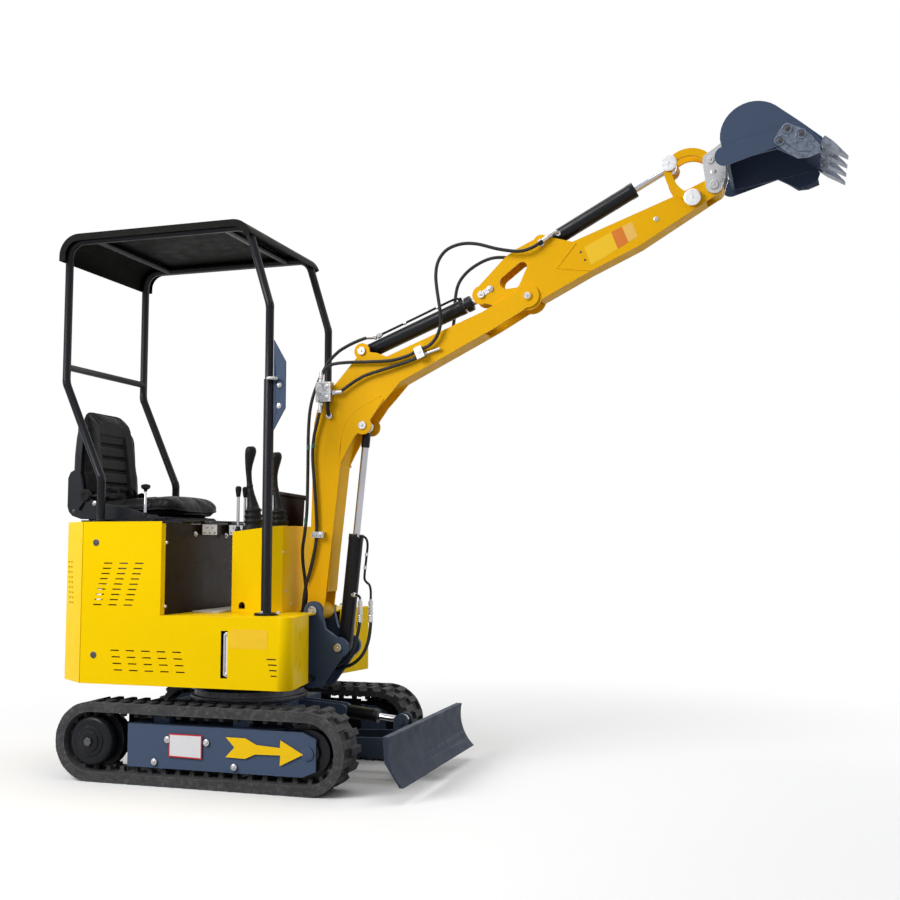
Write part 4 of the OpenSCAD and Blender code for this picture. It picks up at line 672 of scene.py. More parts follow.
def fit_hose_ends():
    """Nuts and sleeves at the hoses' ends, but not where the boom's clamps join two hoses."""
    for name, (hold, points) in HOSES.items():
        spots = smooth_line(places(points), TUBE_STEPS)
        ends = (hold, hold) if isinstance(hold, str) else hold[:2]
        if name in ROUTED_BACK:
            ends = ends[::-1]
        if "loop" not in name:
            hose_end(ends[0], spots[0], spots[2] - spots[0])
        if "run" not in name:
            hose_end(ends[1], spots[-1], spots[-3] - spots[-1])


fit_hose_ends()

# Hard lines
PIPE_STEPS = 6


def pipe(body, points, r=5.0, finish="black"):
    swept(kit(body, finish), smooth_line(places(points), PIPE_STEPS), r)


def boom_cylinder_line():
    """Hard lines of the boom cylinder with the unions of their hoses, and the rod's sleeve."""
    pipe("boom_barrel", [(500, -20, 982), (526, -22, 981), (543, -23, 968), (548, -23, 940), (541, -21, 880),
                         (533, -18, 812), (538, -13, 792), (551, -7, 778), (556, -4, 752), (556, -4, 716)])
    pipe("boom_barrel", [(480, -20, 737), (500, -21, 736), (513, -22, 729), (516, -22, 714), (516, -22, 706)])
    for x, y in ((516, -22), (556, -4)):
        lathe("boom_barrel", "steel", at(x, y, 669), UP,
              [(0, 9.5), (1, 10.8), (16, 10.8), (17, 8.6), (24, 8.6), (25, 11.4), (40, 11.4), (42, 8.0),
               (50, 7.4), (51, 5.5)], HEX)
    for x, z in ((489, 982), (473, 737)):
        lathe("boom_barrel", "steel", at(x, -18, z), FRONT, [(0, 11), (16, 11), (18, 9), (22, 8)], HEX)
    lathe("boom_rod", "black", at(532.4, 0, 1418), (-0.1014, 0, -0.9948),
          [(0, 17), (2, 18), (58, 18), (63, 16.5), (64, 15.2)], 32)
    for x, z in ((543.5, 898), (538, 843)):
        lathe("boom_barrel", "steel", at(x, -21.5, z), UP, [(0, 6.4), (1, 7.2), (13, 7.2), (14, 6.4)], 16)


ARM_CYLINDER_FOOT = (529.0, 1758.6)
ARM_CYLINDER_WAY = Vector((0.9287, 0.3709))


def along_arm_cylinder(s, rise, y):
    """A place by its distance along the arm cylinder's axis and its rise above it."""
    foot_x, foot_z = ARM_CYLINDER_FOOT
    way_x, way_z = ARM_CYLINDER_WAY
    return (foot_x + s * way_x - rise * way_z, y, foot_z + s * way_z + rise * way_x)


def arm_cylinder_line():
    """The arm cylinder's gland, and its hard line from the hose to the port there."""
    gland, ahead = at(*along_arm_cylinder(479, 0, 0)), at(*along_arm_cylinder(520, 0, 0))
    lathe("arm_barrel", "black", gland, ahead - gland,
          [(0, 32), (6, 32.4), (24, 32.4), (27, 30), (27, 21), (29, 20), (29, 17)], 48)
    line = [along_arm_cylinder(*spot) for spot in (
        (86, 37, -26), (112, 38, -25), (160, 39, -22), (260, 40, -20), (380, 41, -20), (440, 41, -19),
        (458, 37, -17), (464, 26, -13))]
    pipe("arm_barrel", line)
    start, second = places(line[:2])
    way = second - start
    lathe("arm_barrel", "steel", start - way.normalized() * 8 * MM, way,
          [(0, 10), (1, 11), (15, 11), (16, 8), (24, 8), (25, 5.6)], HEX)
    for s in (205, 360):
        band = [along_arm_cylinder(s, 40, -20.5), along_arm_cylinder(s + 12, 40, -20.5)]
        swept(kit("arm_barrel", "steel"), places(band), 7.4)
    port, outside = at(*along_arm_cylinder(464, 22, -12)), at(*along_arm_cylinder(464, 60, -18))
    lathe("arm_barrel", "black", port, outside - port, [(0, 10), (14, 10), (16, 8)], HEX)


def loop_ports():
    """Elbows from the loop hoses into the bucket cylinder, and the unions and bolts at the boom's clamps."""
    for side in SIDES:
        pipe("bucket_barrel", [(1344, side * 53, 2192), (1354, side * 50, 2201), (1362, side * 45, 2205),
                               (1367, side * 38, 2203), (1370, side * 28, 2198)], 6.5, "steel")
        lathe("bucket_barrel", "steel", at(1370, side * 29, 2198), (0, side, 0.1),
              [(0, 11), (7, 11), (8, 9)], HEX)
        screw("boom", at(796, side * 86.4, 1735), (0, side, 0), 5)
    pipe("boom", [(806, -66, 1729), (838, -66, 1738), (868, -66, 1747), (879, -66, 1750.5)], 6.0, "steel")
    lathe("boom", "steel", at(812, -66, 1730.6), (0.96, 0, 0.28), [(0, 8), (1, 9), (12, 9), (13, 7)], HEX)
    for z in (1608, 1562):
        bolt("boom", at(388, -92.4, z), RIGHT, 6)
    pipe("boom", [(384, -73, 1546), (384, -73, 1520), (386, -72, 1500), (388, -66, 1490), (388, -54, 1487)],
         8.0)
    lathe("boom", "steel", at(388, -58, 1488), RIGHT, [(0, 13), (10, 13), (11, 11), (11, 5), (15, 4)])
    bolt("boom", at(360, -80.4, 987), RIGHT, 5.5)


def tape_bands():
    """Bands of tape round the hoses at the boom's foot."""
    for x, y, z in ((274.6, -26, 1348), (267, -26, 1036), (317, -69, 1352)):
        swept(kit("boom", "tape"), places([(x, y, z), (x, y, z + 9), (x + 0.4, y, z + 22)]), 7.5, 18)


boom_cylinder_line()
arm_cylinder_line()
loop_ports()
tape_bands()

# Pins: body, place, half width of the solid's pin and radius
ARM_EYE = (1049.3, 1966.4)
PINS = (
    ("house", 326, 671, 83, 19), ("house", 441, 522, 83, 17),
    ("boom", 535, 1444, 60, 17), ("boom", *ARM_CYLINDER_FOOT, 60, 17), ("boom", 1246, 1948, 60, 14),
    ("arm", *ARM_EYE, 51, 15), ("arm", 1302.1, 2162.3, 51, 15),
    ("bucket", 1989.3, 2333.8, 64, 17), ("bucket", 1978.4, 2432.7, 64, 14))
LEVER_PINS = ((1906.4, 2291.2), (1816.0, 2436.8))

for pin in PINS:
    pin_face(*pin)
for x, z in LEVER_PINS:
    pin_cap("bucket_lever", x, z, 62, 33)
keeper("arm", *ARM_EYE, half=45, turn=30.3, reach=45, r=11)

# Undercarriage: axles of the sprocket and idler, outer face of the track frames, a foil's thickness
BASE = "undercarriage"
AXLE_X, AXLE_Z = 473, 158
FRAME_FACE = 446
FOIL = 0.5


def hub_fittings(side):
    """The sprocket's dome and nut, the idler's cap and plug."""
    out = (0, side, 0)
    lathe(BASE, "black", at(-AXLE_X, side * 441, AXLE_Z), out,
          [(0, 97.6), (5, 97.2), (11, 93), (14.5, 86), (15.5, 76), (15.5, 61), (19, 59.6), (20.5, 56),
           (20.5, 43), (25, 41.4), (26.5, 38), (26.5, 20)], 64)
    lathe(BASE, "iron", at(-AXLE_X, side * 466, AXLE_Z), out, [(0, 18), (10, 18), (12, 15.5)], HEX)
    lathe(BASE, "black", at(AXLE_X, side * 428, AXLE_Z), out,
          [(0, 46), (6, 45), (10, 40), (11, 26), (15, 24), (16, 18)], 48)
    lathe(BASE, "slate", at(AXLE_X, side * 440, AXLE_Z), out,
          [(0, 26), (5.6, 26), (6.2, 24), (6.2, 4)], 40)


def track_loop(r):
    """Outline round both axles."""
    return arc((AXLE_X, AXLE_Z), r, -90, 90, 24) + arc((-AXLE_X, AXLE_Z), r, 90, 270, 24)


def undercarriage_fittings():
    """Bolts, hubs, inner plate, the track's bead and the blank foils on both sides."""
    for side in SIDES:
        face = side * FRAME_FACE
        for x, z in ((-128, 180), (45, 177), (-185, 91), (166, 90)):
            bolt(BASE, at(x, face, z), (0, side, 0), 8)
        hub_fittings(side)
        plate(BASE, "black", [(-392, 44), (392, 44), (392, 262), (-392, 262)], side * 300, 8)
        side_ring(kit(BASE, "rubber"), track_loop(157.2), track_loop(143), side * 453, 11.6)
        plate(BASE, "red", [(-120, 205), (27, 205), (27, 112), (-120, 115)], face, FOIL)
        plate(BASE, "white", [(-115, 200), (22, 200), (22, 117), (-115, 120)], side * 446.3, 0.6)
        plate(BASE, "arrow", [
            (130, 203), (214, 203), (262, 180), (361, 174), (363, 203), (458, 154), (361, 106), (363, 146),
            (257, 144), (214, 125), (130, 127), (168, 166)], face, FOIL)


undercarriage_fittings()

# House: outer face of its panels, bulkhead's front, the canopy's post and the hinge leaves
HOUSE_SIDE = 440
BULKHEAD_X = -160
POST_Y = 325
LEAF_THICK = 3.5


def house_side_fittings(side):
    """Latches, screws, level gauge and the canopy post's bolts and ring."""
    out = (0, side, 0)
    for z in (955, 500):
        lathe("house", "iron", at(-479, side * HOUSE_SIDE, z), out,
              [(0, 14), (1.6, 14), (2.6, 12.4), (2.6, 9), (1.2, 8.6), (1.2, 3)])
        plate("house", "iron", round_ends((-486, z - 2), (-472, z + 2), 2.6), side * HOUSE_SIDE, 3.4)
    for z in (955, 700):
        screw("house", at(-158, side * 428, z), FRONT, 7)
    plate("house", "white", [(114, 432), (126, 432), (126, 604), (114, 604)], side * 432, 2.0)
    lathe("house", "chrome", at(112, side * 434, 436), UP, [(0, 4), (2, 5), (160, 5), (162, 4)], 16)
    for z in (440, 596):
        bolt("house", at(120, side * 434, z), out, 4.5)
    for x in (214, 288):
        bolt("house", at(x, side * POST_Y, 673), UP, 7)
    lathe("house", "white", at(249, side * POST_Y, 1613), UP,
          [(0, 21.5), (1, 23.2), (8, 23.2), (9, 21.5)], 32)


def hinge_leaf(y):
    """One leaf of the seat's hinge on the bulkhead, with its screws."""
    leaf = [at(BULKHEAD_X, y + a, z) for a, z in ((-62, 988), (62, 988), (62, 1032), (-62, 1032))]
    loft(kit("house", "steel"), [leaf, [spot + FRONT * LEAF_THICK * MM for spot in leaf]])
    for a, z in ((-44, 998), (0, 998), (44, 998), (-22, 1020), (22, 1020)):
        screw("house", at(BULKHEAD_X + LEAF_THICK, y + a, z), FRONT, 5.5)


def house_fittings():
    for side in SIDES:
        house_side_fittings(side)
    plate("house", "lemon", [(138, 617), (300, 617), (300, 543), (138, 543)], -HOUSE_SIDE, 0.6)
    for z in (1593, 1507):
        bolt("house", at(270, -303, z), RIGHT, 7)
    for side in SIDES:
        for y, z in ((143, 914), (119, 752), (65, 694)):
            screw("house", at(220, side * y, z), FRONT, 6)
    for y in (-85, 150):
        hinge_leaf(y)
    for y, z in ((-201, 990), (63, 985)):
        bolt("house", at(BULKHEAD_X, y, z), FRONT, 7)


house_fittings()

# Boom, arm and bucket: outer faces of their sides and the foils on the arm
BOOM_SIDE = 55
ARM_SIDE = 45
BUCKET_SIDE = 198
CUTTER_FACE = 203
ARM_FOILS = {
    "lemon": [(1478, 2132), (1586, 2184), (1612, 2114), (1505, 2056)],
    "orange": [(1586, 2184), (1629, 2203), (1655, 2138), (1612, 2114)],
    "peach": [(1629, 2203), (1670, 2219), (1690, 2158), (1655, 2138)],
}


def arm_trim(side):
    """Screws, a bolt and the doubler's weld line."""
    out = (0, side, 0)
    for x, z in ((1463, 2113), (1480, 2080)):
        screw("arm", at(x, side * ARM_SIDE, z), out, 4.5, "iron")
    bolt("arm", at(1764, side * ARM_SIDE, 2222), out, 6)
    weld = [(x, side * 45.2, z) for x, z in ((1445, 2152), (1366, 2054), (1499, 2035))]
    swept(kit("arm", "boom"), places(weld), 2.0, 10)


def bucket_trim(side):
    """The side cutter with its bolts, and the strip along the bucket's edge."""
    out = (0, side, 0)
    plate("bucket", "cutter", [
        (2218, 2430), (2224, 2449), (2242, 2480), (2256, 2490), (2273, 2493), (2315, 2472), (2348, 2444),
        (2377, 2404), (2381, 2375), (2339, 2360), (2301, 2359), (2248, 2398)], side * BUCKET_SIDE, 5)
    plate("bucket", "cutter", [
        (2262, 2418), (2304, 2384), (2346, 2380), (2358, 2394), (2334, 2424), (2292, 2420)],
        side * CUTTER_FACE, 3)
    for x, z in ((2265, 2474), (2313, 2450), (2238, 2432)):
        lathe("bucket", "cutter", at(x, side * CUTTER_FACE, z), out,
              [(0, 21), (3, 20.4), (5, 18), (5, 14), (2, 13)], 32)
        bolt("bucket", at(x, side * 205, z), out, 7, "iron")
    bolt("bucket", at(1988, side * 58, 2385), out, 7)
    strip = arc((2039, 2395), 37, 102, 282) + [(2228, 2412), (2236, 2446), (2240, 2479)]
    plate("bucket", "slate", strip, side * BUCKET_SIDE, 3.5)


def boom_bead(side):
    """The weld bead along the boom's doubler."""
    edge = [(439, 1274), (431, 1321), (437, 1383), (455, 1445), (487, 1493), (528, 1523), (571, 1543),
            (614, 1564)]
    bead = smooth_line(places([(x, side * BOOM_SIDE, z) for x, z in edge]), 5)
    swept(kit("boom", "boom"), bead, 3.0, 10)


for side in SIDES:
    arm_trim(side)
    bucket_trim(side)
    boom_bead(side)
for finish, outline in ARM_FOILS.items():
    plate("arm", finish, outline, -ARM_SIDE, FOIL)


# Controls
STICK_SIDES = 28
LEVER_X = 17
THROTTLE_X, THROTTLE_Y = -342, -300


def joystick(y, top):
    """A leaning grip on a boot with four folds."""
    bm = bmesh.new()
    boot = [(1006, 72, 44), (1022, 72, 44), (1027, 72, 37), (1034, 72, 36), (1040, 72, 42), (1046, 72, 42),
            (1051, 71, 35), (1058, 71, 34), (1063, 71, 39), (1069, 70, 39), (1074, 70, 32), (1081, 70, 31),
            (1086, 69, 36), (1092, 69, 36), (1097, 68, 28), (1112, 66, 24), (1135, 61, 20), (1160, 56, 16),
            (1180, 53, 14), (1186, 52, 11)]
    swept(bm, [at(x, y, z) for z, x, r in boot], [r for z, x, r in boot], STICK_SIDES)
    grip = [(1178, 53, 10), (1184, 52, 13.4), (1196, 51, 13.8), (1202, 50, 12.2), (1230, 47, 11.8),
            (1258, 45, 13.2), (1286, 46, 16.5), (1312, 49, 20.5), (1332, 52, 23), (1345, 54, 23),
            (1354, 56, 20), (1360, 57, 14), (1362, 57, 5)]
    grip = smooth_line([Vector((z, x, r)) for z, x, r in grip], 3)
    swept(bm, [at(p[1], y, p[0] + top) for p in grip], [p[2] for p in grip], STICK_SIDES)
    return bm


def gathered(bms):
    """One mesh from several."""
    whole = bmesh.new()
    for bm in bms:
        mesh = bpy.data.meshes.new("part")
        bm.to_mesh(mesh)
        bm.free()
        whole.from_mesh(mesh)
        bpy.data.meshes.remove(mesh)
    return whole


def make_joysticks():
    both = gathered([joystick(-124, 0), joystick(124, -6)])
    sticks = make_piece("joystick_pair", both, "plastic", "house", 60)
    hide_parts("joysticks")


def make_travel_levers(knobs):
    rods = bmesh.new()
    for y in (-98, -160):
        turned(rods, at(LEVER_X, y, 1002), UP, [(0, 8), (4, 8), (5, 6.2), (150, 6.2), (154, 5)], 20)
        turned(knobs, at(LEVER_X, y, 1000), UP, [(2, 13), (8, 13), (14, 9.5), (22, 8.4)], 20)
        turned(knobs, at(LEVER_X, y, 1146), UP,
               [(0, 7), (3, 8.6), (16, 10.6), (30, 12.6), (40, 12.4), (45, 8), (46, 3)])
    levers = make_piece("travel_lever_rods", rods, "chrome", "house")
    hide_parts("travel_levers")


def throttle_at(z):
    return at(THROTTLE_X, THROTTLE_Y, z)


def make_throttle(knobs):
    """The throttle's stem, its lobed knob, neck and boot, and the block behind it."""
    stem = bmesh.new()
    turned(stem, throttle_at(1070), UP, [(0, 6), (60, 6), (62, 5), (112, 5), (116, 4)], 20)
    throttle = make_piece("throttle_stem", stem, "chrome", "house")
    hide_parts("throttle_lever")
    turned(knobs, throttle_at(1176), UP, [(0, 8), (3, 13), (7, 17.5), (17, 18.5), (21, 14), (23, 6)],
           40, lobes=5, depth=0.12)
    turned(knobs, throttle_at(1168), UP, [(0, 7), (9, 8)], 20)
    turned(knobs, throttle_at(1040.5), UP, [(0, 17), (5, 17), (8, 14), (22, 12), (34, 9), (40, 7)])
    block = [(-412, 1041), (-306, 1041), (-310, 1056), (-336, 1068), (-380, 1070), (-408, 1058)]
    loft(knobs, [[at(x, y, z) for x, z in block] for y in (-314, -286)])


make_joysticks()
make_travel_levers(kit("house", "plastic"))
make_throttle(kit("house", "plastic"))


# Seat: cushion and back are swollen by air, then sewn; shell, pans and adjuster are moulded
VOXEL = 0.006
SWELL_FRAMES = 20
SWELL_CAP = 0.012
AIR_PRESSURE = 4.0
PAD_STEPS = 40
PAD_SIDES = 48


def rounded_section(count, power):
    """Unit points of a rounded square."""
    points = []
    for k in range(count):
        a = 2 * pi * k / count
        points.append(tuple(copysign(abs(t) ** (2 / power), t) for t in (cos(a), sin(a))))
    return points


def between(table, s):
    """A value read from a table of (place, value) by straight lines."""
    for (a, va), (b, vb) in zip(table, table[1:]):
        if s <= b:
            return va + (vb - va) * max(0.0, (s - a) / (b - a))
    return table[-1][1]


# Half width, top and underside of the cushion by x; half width and front of the back by z
CUSHION_REAR, CUSHION_LONG = -684, 436
CUSHION_HALF = [(-684, 188), (-660, 200), (-330, 207), (-290, 198), (-266, 180), (-254, 158), (-248, 130)]
CUSHION_TOP = [(-684, 1112), (-660, 1124), (-520, 1134), (-420, 1140), (-330, 1146), (-290, 1141),
               (-262, 1122), (-248, 1102)]
CUSHION_LOW = [(-684, 1067), (-290, 1067), (-248, 1076)]
CUSHION_REST = 1.073
BACK_LOW, BACK_TALL = 1156, 382
BACK_HALF = [(1156, 184), (1172, 198), (1250, 205), (1340, 202), (1430, 192), (1490, 176), (1522, 152),
             (1538, 118)]
BACK_FRONT = [(1156, -684), (1250, -696), (1500, -734), (1538, -746)]
BACK_REAR = -762


def cushion_mesh():
    bm, rings = bmesh.new(), []
    section = rounded_section(PAD_SIDES, 3.4)
    for i in range(PAD_STEPS + 1):
        x = CUSHION_REAR + CUSHION_LONG * i / PAD_STEPS
        half, top, low = (between(t, x) for t in (CUSHION_HALF, CUSHION_TOP, CUSHION_LOW))
        rings.append([at(x, half * a, (top + low) / 2 + (top - low) / 2 * b) for a, b in section])
    loft(bm, rings)
    return bm


def back_mesh():
    bm, rings = bmesh.new(), []
    section = rounded_section(PAD_SIDES, 3.0)
    for i in range(PAD_STEPS + 1):
        z = BACK_LOW + BACK_TALL * i / PAD_STEPS
        half, front = between(BACK_HALF, z), between(BACK_FRONT, z)
        middle, deep = (front + BACK_REAR) / 2, (front - BACK_REAR) / 2
        rings.append([at(middle + deep * b, half * a, z) for a, b in section])
    loft(bm, rings)
    return bm


def baked(made):
    """Puts the object's modifiers into its mesh."""
    graph = bpy.context.evaluated_depsgraph_get()
    mesh = bpy.data.meshes.new_from_object(made.evaluated_get(graph))
    made.modifiers.clear()
    made.data = mesh


def swollen(made, rests):
    """Remeshes a skin and fills it with air as cloth, held where it rests and capped in how far it moves."""
    remesh = made.modifiers.new("remesh", "REMESH")
    remesh.mode = "VOXEL"
    remesh.voxel_size = VOXEL
    baked(made)
    before = [v.co.copy() for v in made.data.vertices]
    group = made.vertex_groups.new(name="rest")
    group.add([v.index for v in made.data.vertices if rests(v.co)], 1.0, "REPLACE")
    cloth = made.modifiers.new("cloth", "CLOTH")
    cloth.settings.vertex_group_mass = "rest"
    cloth.settings.use_pressure = True
    cloth.settings.uniform_pressure_force = AIR_PRESSURE
    cloth.settings.effector_weights.gravity = 0.0
    cloth.point_cache.frame_end = SWELL_FRAMES
    for step in range(1, SWELL_FRAMES + 1):
        bpy.context.scene.frame_set(step)
    baked(made)
    bpy.context.scene.frame_set(1)
    made.vertex_groups.clear()
    for v, place in zip(made.data.vertices, before):
        move = v.co - place
        if move.length > SWELL_CAP:
            v.co = place + move.normalized() * SWELL_CAP
    split = made.modifiers.new("fine", "SUBSURF")
    split.levels = split.render_levels = 1
    baked(made)
    made.data.materials.clear()
    made.data.materials.append(FINISH["vinyl"])
    for face in made.data.polygons:
        face.use_smooth = True


def dip(s, width):
    """1 on a line, falling away on both sides within about a width."""
    return exp(-(s / width) ** 2)


def step_in(s, soft):
    """0 below zero, 1 above, soft between."""
    t = min(1.0, max(0.0, s / soft + 0.5))
    return t * t * (3 - 2 * t)


# Sewing: half widths of the inserts, their ends, seams and channels
BACK_INSERT_HALF = 92
BACK_INSERT_LOW, BACK_INSERT_TOP = 1168, 1426
BACK_SEAM = 1432
BACK_CHANNELS = (1216, 1276, 1336, 1394)
BOLSTER_Y, BOLSTER_TOP = 146, 1476
CUSHION_INSERT_HALF = 130
CUSHION_CHANNELS = (-622, -556, -490)
FRONT_SEAM, FRONT_SEAM_BOW, FRONT_SEAM_HALF = -412, 40, 204


def skin_points(made):
    """The points of a skin, each with its normal before any of them moves."""
    made.data.update()
    normals = [v.normal.copy() for v in made.data.vertices]
    return zip(made.data.vertices, normals)


def sew_back(made):
    """Bolsters, insert and its sewn channels on the front of the back."""
    for v, normal in skin_points(made):
        if normal.x < 0.15:
            continue
        y, z = abs(v.co.y) / MM, v.co.z / MM
        inside = step_in(BACK_INSERT_HALF - y, 22)
        inside *= step_in(BACK_INSERT_TOP - z, 24) * step_in(z - BACK_INSERT_LOW, 24)
        ribs = max(dip(z - line, 7) for line in BACK_CHANNELS)
        puff = 5.0 * inside * (1 - ribs)
        seam = max(dip(y - BACK_INSERT_HALF, 6) * step_in(1440 - z, 20),
                   dip(z - BACK_SEAM, 6) * step_in(BACK_INSERT_HALF - y, 20))
        bolster = 12.0 * dip(y - BOLSTER_Y, 44) * step_in(BOLSTER_TOP - z, 80)
        v.co.x += MM * (bolster + puff - 13.0 * inside - 6.0 * inside * ribs - 5.0 * seam) * normal.x


def sew_cushion(made):
    """Seams and channels on top of the cushion."""
    for v, normal in skin_points(made):
        if normal.z < -0.2:
            continue
        x, y = (v.co.x - SLEW_X) / MM, abs(v.co.y) / MM
        bow = FRONT_SEAM + FRONT_SEAM_BOW * (y / FRONT_SEAM_HALF) ** 2
        front = dip(x - bow, 7)
        inside = step_in(CUSHION_INSERT_HALF - y, 18) * step_in(bow - x, 18)
        ribs = max(dip(x - line, 6) for line in CUSHION_CHANNELS) * inside
        edge = dip(y - CUSHION_INSERT_HALF, 6) * step_in(bow - x, 14)
        v.co -= normal * MM * (6.0 * front + 4.0 * ribs + 4.5 * edge - 3.0 * inside * (1 - ribs))


def welt(skin, spots, r):
    """A sewn cord that follows a skin near the given places."""
    line = []
    for spot in smooth_line(spots, 4):
        found, place, normal, face = skin.closest_point_on_mesh(spot)
        line.append(place + normal * r * 0.3 * MM)
    swept(kit("seat", "vinyl"), line, r, 10)


def make_cushions():
    cushion = make_piece("seat_cushion_pad", cushion_mesh(), "vinyl")
    swollen(cushion, lambda p: p.z < CUSHION_REST)
    sew_cushion(cushion)
    side = [(x, between(CUSHION_HALF, x) + 12) for x in (-676, -600, -500, -400, -360, -310, -284, -264)]
    nose = [(-238, -100), (-230, -40), (-230, 40), (-238, 100)]
    outline = [(x, -y) for x, y in side] + nose + side[::-1]
    welt(cushion, [at(x, y, 1086) for x, y in outline], 4.0)
    back = make_piece("seat_back_pad", back_mesh(), "vinyl")
    swollen(back, lambda p: p.x < SLEW_X + (BACK_REAR + 3) * MM)
    sew_back(back)
    side = [(between(BACK_HALF, z) + 10, z) for z in (1166, 1230, 1300, 1370, 1440, 1490, 1520, 1540)]
    crown = [(-60, 1552), (0, 1554), (60, 1552)]
    outline = [(-y, z) for y, z in side] + crown + side[::-1]
    welt(back, [at(0.45 * between(BACK_FRONT, z) + 0.55 * BACK_REAR, y, z) for y, z in outline], 3.6)
    for pad, node, fill in ((cushion, "seat_cushion", 0.8), (back, "seat_back", 0.85)):
        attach(pad, "seat")
        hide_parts(node)


# Shell: half width, depth and front edge by z, the pans' outline and where the sides stand
PAN = [(-786, 1236), (-786, 1112), (-778, 1088), (-760, 1070), (-714, 1056), (-536, 1051), (-300, 1052),
       (-290, 1058), (-386, 1076), (-462, 1098), (-596, 1122), (-673, 1142), (-708, 1176), (-716, 1230),
       (-724, 1254), (-738, 1267), (-756, 1271), (-774, 1262)]
SHELL_LOW, SHELL_TALL = 1074, 428
SHELL_HALF = [(1074, 190), (1110, 204), (1250, 213), (1340, 210), (1420, 199), (1470, 181), (1502, 140)]
SHELL_DEEP = [(1074, 40), (1110, 62), (1440, 62), (1480, 50), (1502, 18)]
SHELL_FRONT = [(1074, -724), (1440, -724), (1502, -752)]
SHELL_ROWS, SHELL_COLUMNS = 29, 32
SHELL_THICK = 0.005
SHELL_EDGE = 0.003
PAN_Y, PAN_THICK = 203, 13
RAIL_Y = 196


def back_cover(bm):
    """The sheet that wraps the back and its sides."""
    rows = []
    for i in range(SHELL_ROWS + 1):
        z = SHELL_LOW + SHELL_TALL * i / SHELL_ROWS
        half, deep, front = (between(t, z) for t in (SHELL_HALF, SHELL_DEEP, SHELL_FRONT))
        row = []
        for k in range(SHELL_COLUMNS + 1):
            a = -pi / 2 + pi * k / SHELL_COLUMNS
            y = half * copysign(abs(sin(a)) ** 0.5, a)
            row.append(bm.verts.new(at(front - deep * abs(cos(a)) ** 0.5, y, z)))
        rows.append(row)
    for a, b in zip(rows, rows[1:]):
        join_rows(bm, a, b, closed=False)
    bmesh.ops.recalc_face_normals(bm, faces=bm.faces)
    bmesh.ops.solidify(bm, geom=bm.faces[:], thickness=SHELL_THICK)


def seat_side_fittings(side):
    """The adjuster's knob and lever, bolts, and the feet of the seat's rail."""
    out = (0, side, 0)
    turned(kit("seat", "plastic"), at(-692, side * 214, 1160), out,
           [(0, 26), (3, 27), (9, 26), (12, 22), (12, 10), (9, 8)], 36, lobes=9, depth=0.03)
    bolt("seat", at(-648, side * 216, 1124), out, 6)
    bolt("seat", at(-752, side * 216, 1090), out, 5, "iron")
    lever = [(-700, side * 218, 1130), (-716, side * 222, 1108), (-722, side * 222, 1098)]
    swept(kit("seat", "plastic"), places(lever), 6)
    for x in (-560, -380):
        foot = [(x - 46, 1051), (x + 46, 1051), (x + 34, 1074), (x - 34, 1074)]
        plate("seat", "black", foot, side * RAIL_Y, 6)
        bolt("seat", at(x, side * 202, 1061), out, 5)


def make_shell():
    """Moulded back cover, pans with hinge covers, and the plate under the cushion."""
    bm = bmesh.new()
    back_cover(bm)
    for side in SIDES:
        side_plate(bm, PAN, side * PAN_Y, PAN_THICK)
    under = ((-690, -RAIL_Y), (-290, -RAIL_Y), (-290, RAIL_Y), (-690, RAIL_Y))
    loft(bm, [[at(x, y, z) for x, y in under] for z in (1051, 1064)])
    shell = make_piece("seat_shell_moulding", bm, "shell", "seat", 40)
    soften(shell, SHELL_EDGE, 3)
    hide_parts("seat_shell")
    for side in SIDES:
        seat_side_fittings(side)


make_cushions()
make_shell()

for (body, finish), bm in kits.items():
    make_piece(f"{body}_fittings_{finish}", bm, finish, body)


# Studio: pale floor that keeps the shadow near the machine and fades to white, key lamp and soft fill
FLOOR_SIZE = 60.0
FLOOR_COLOUR = (0.93, 0.93, 0.93, 1)
FLOOR_ROUGHNESS = 0.9
BOUNCE_COLOUR = (0.4, 0.4, 0.4, 1)
FADE_NEAR, FADE_FAR = 1.3, 3.6
WHITE = (1, 1, 1, 1)
FILL_COLOUR = (0.97, 0.98, 1.0, 1)
WORLD_FILL = 0.42
LAMP_TARGET = at(600, 0, 1000)
LAMPS = {
    "key": (at(-2600, -4200, 4300), 3.0, 288),
    "top": (at(600, 600, 5200), 4.0, 90),
    "rim": (at(4200, 2500, 2800), 2.5, 40),
}


def combined(tree, operation, a, b):
    """Two values through a math node."""
    made = tree.nodes.new("ShaderNodeMath")
    made.operation = operation
    tree.links.new(a, made.inputs[0])
    tree.links.new(b, made.inputs[1])
    return made.outputs["Value"]


def mixed(tree, factor, a, b):
    """A shader from a to b by a factor."""
    mix = tree.nodes.new("ShaderNodeMixShader")
    for out, into in zip((factor, a, b), mix.inputs):
        tree.links.new(out, into)
    return mix.outputs[0]


def background_rays(tree):
    """1 for rays that show the background: from the camera, or by gloss or glass."""
    path = tree.nodes.new("ShaderNodeLightPath")
    seen = path.outputs["Is Camera Ray"]
    for ray in ("Is Glossy Ray", "Is Transmission Ray"):
        seen = combined(tree, "MAXIMUM", seen, path.outputs[ray])
    return seen


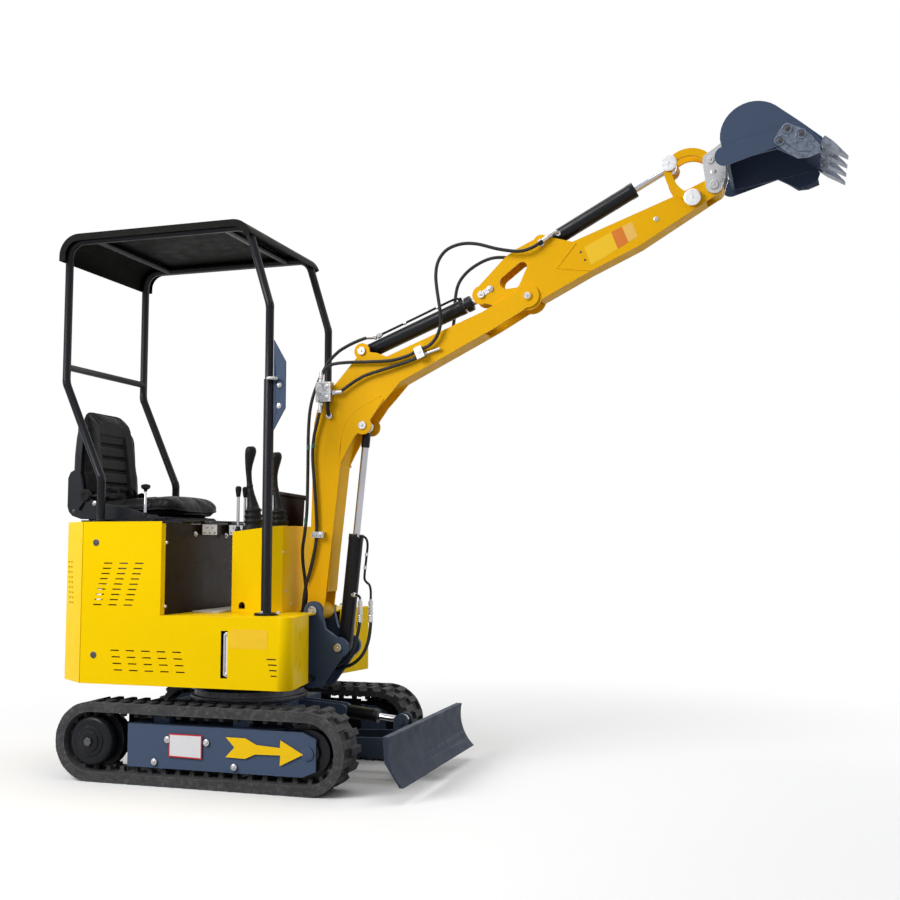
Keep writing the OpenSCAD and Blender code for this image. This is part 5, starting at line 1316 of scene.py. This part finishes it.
def make_world():
    world = bpy.data.worlds.new("studio")
    bpy.context.scene.world = world
    world.use_nodes = True
    tree = world.node_tree
    fill = tree.nodes["Background"]
    set_inputs(fill, {"Color": FILL_COLOUR, "Strength": WORLD_FILL})
    white = tree.nodes.new("ShaderNodeBackground")
    set_inputs(white, {"Color": WHITE, "Strength": 1.0})
    shown = mixed(tree, background_rays(tree), fill.outputs[0], white.outputs[0])
    tree.links.new(shown, tree.nodes["World Output"].inputs["Surface"])


def floor_material():
    """Pale near the machine and white far off where it is seen, and dim in the light it throws back."""
    material = bpy.data.materials.new("studio_floor")
    material.use_nodes = True
    tree = material.node_tree
    pale = tree.nodes["Principled BSDF"]
    set_inputs(pale, {"Base Color": FLOOR_COLOUR, "Roughness": FLOOR_ROUGHNESS})
    dim = tree.nodes.new("ShaderNodeBsdfDiffuse")
    set_inputs(dim, {"Color": BOUNCE_COLOUR})
    seen = background_rays(tree)
    near = mixed(tree, seen, dim.outputs[0], pale.outputs[0])
    white = tree.nodes.new("ShaderNodeEmission")
    place = tree.nodes.new("ShaderNodeTexCoord").outputs["Object"]
    away = tree.nodes.new("ShaderNodeVectorMath")
    away.operation = "LENGTH"
    tree.links.new(place, away.inputs[0])
    fade = tree.nodes.new("ShaderNodeMapRange")
    fade.interpolation_type = "SMOOTHSTEP"
    set_inputs(fade, {"From Min": FADE_NEAR, "From Max": FADE_FAR})
    tree.links.new(away.outputs["Value"], fade.inputs["Value"])
    share = combined(tree, "MULTIPLY", fade.outputs["Result"], seen)
    shown = mixed(tree, share, near, white.outputs[0])
    tree.links.new(shown, tree.nodes["Material Output"].inputs["Surface"])
    return material


def area_lamp(name, place, size, power):
    data = bpy.data.lights.new(name, "AREA")
    data.size = size
    data.energy = power
    lamp = add_object(name, data)
    lamp.location = place
    lamp.rotation_euler = (place - LAMP_TARGET).to_track_quat("Z", "Y").to_euler()


def make_studio():
    make_world()
    half = FLOOR_SIZE / 2
    corners = [(-half, -half, 0), (half, -half, 0), (half, half, 0), (-half, half, 0)]
    mesh = bpy.data.meshes.new("floor")
    mesh.from_pydata(corners, [], [(0, 1, 2, 3)])
    mesh.materials.append(floor_material())
    floor = add_object("floor", mesh)
    for name, lamp in LAMPS.items():
        area_lamp(name, *lamp)
    bpy.context.scene.view_settings.view_transform = "Standard"


make_studio()
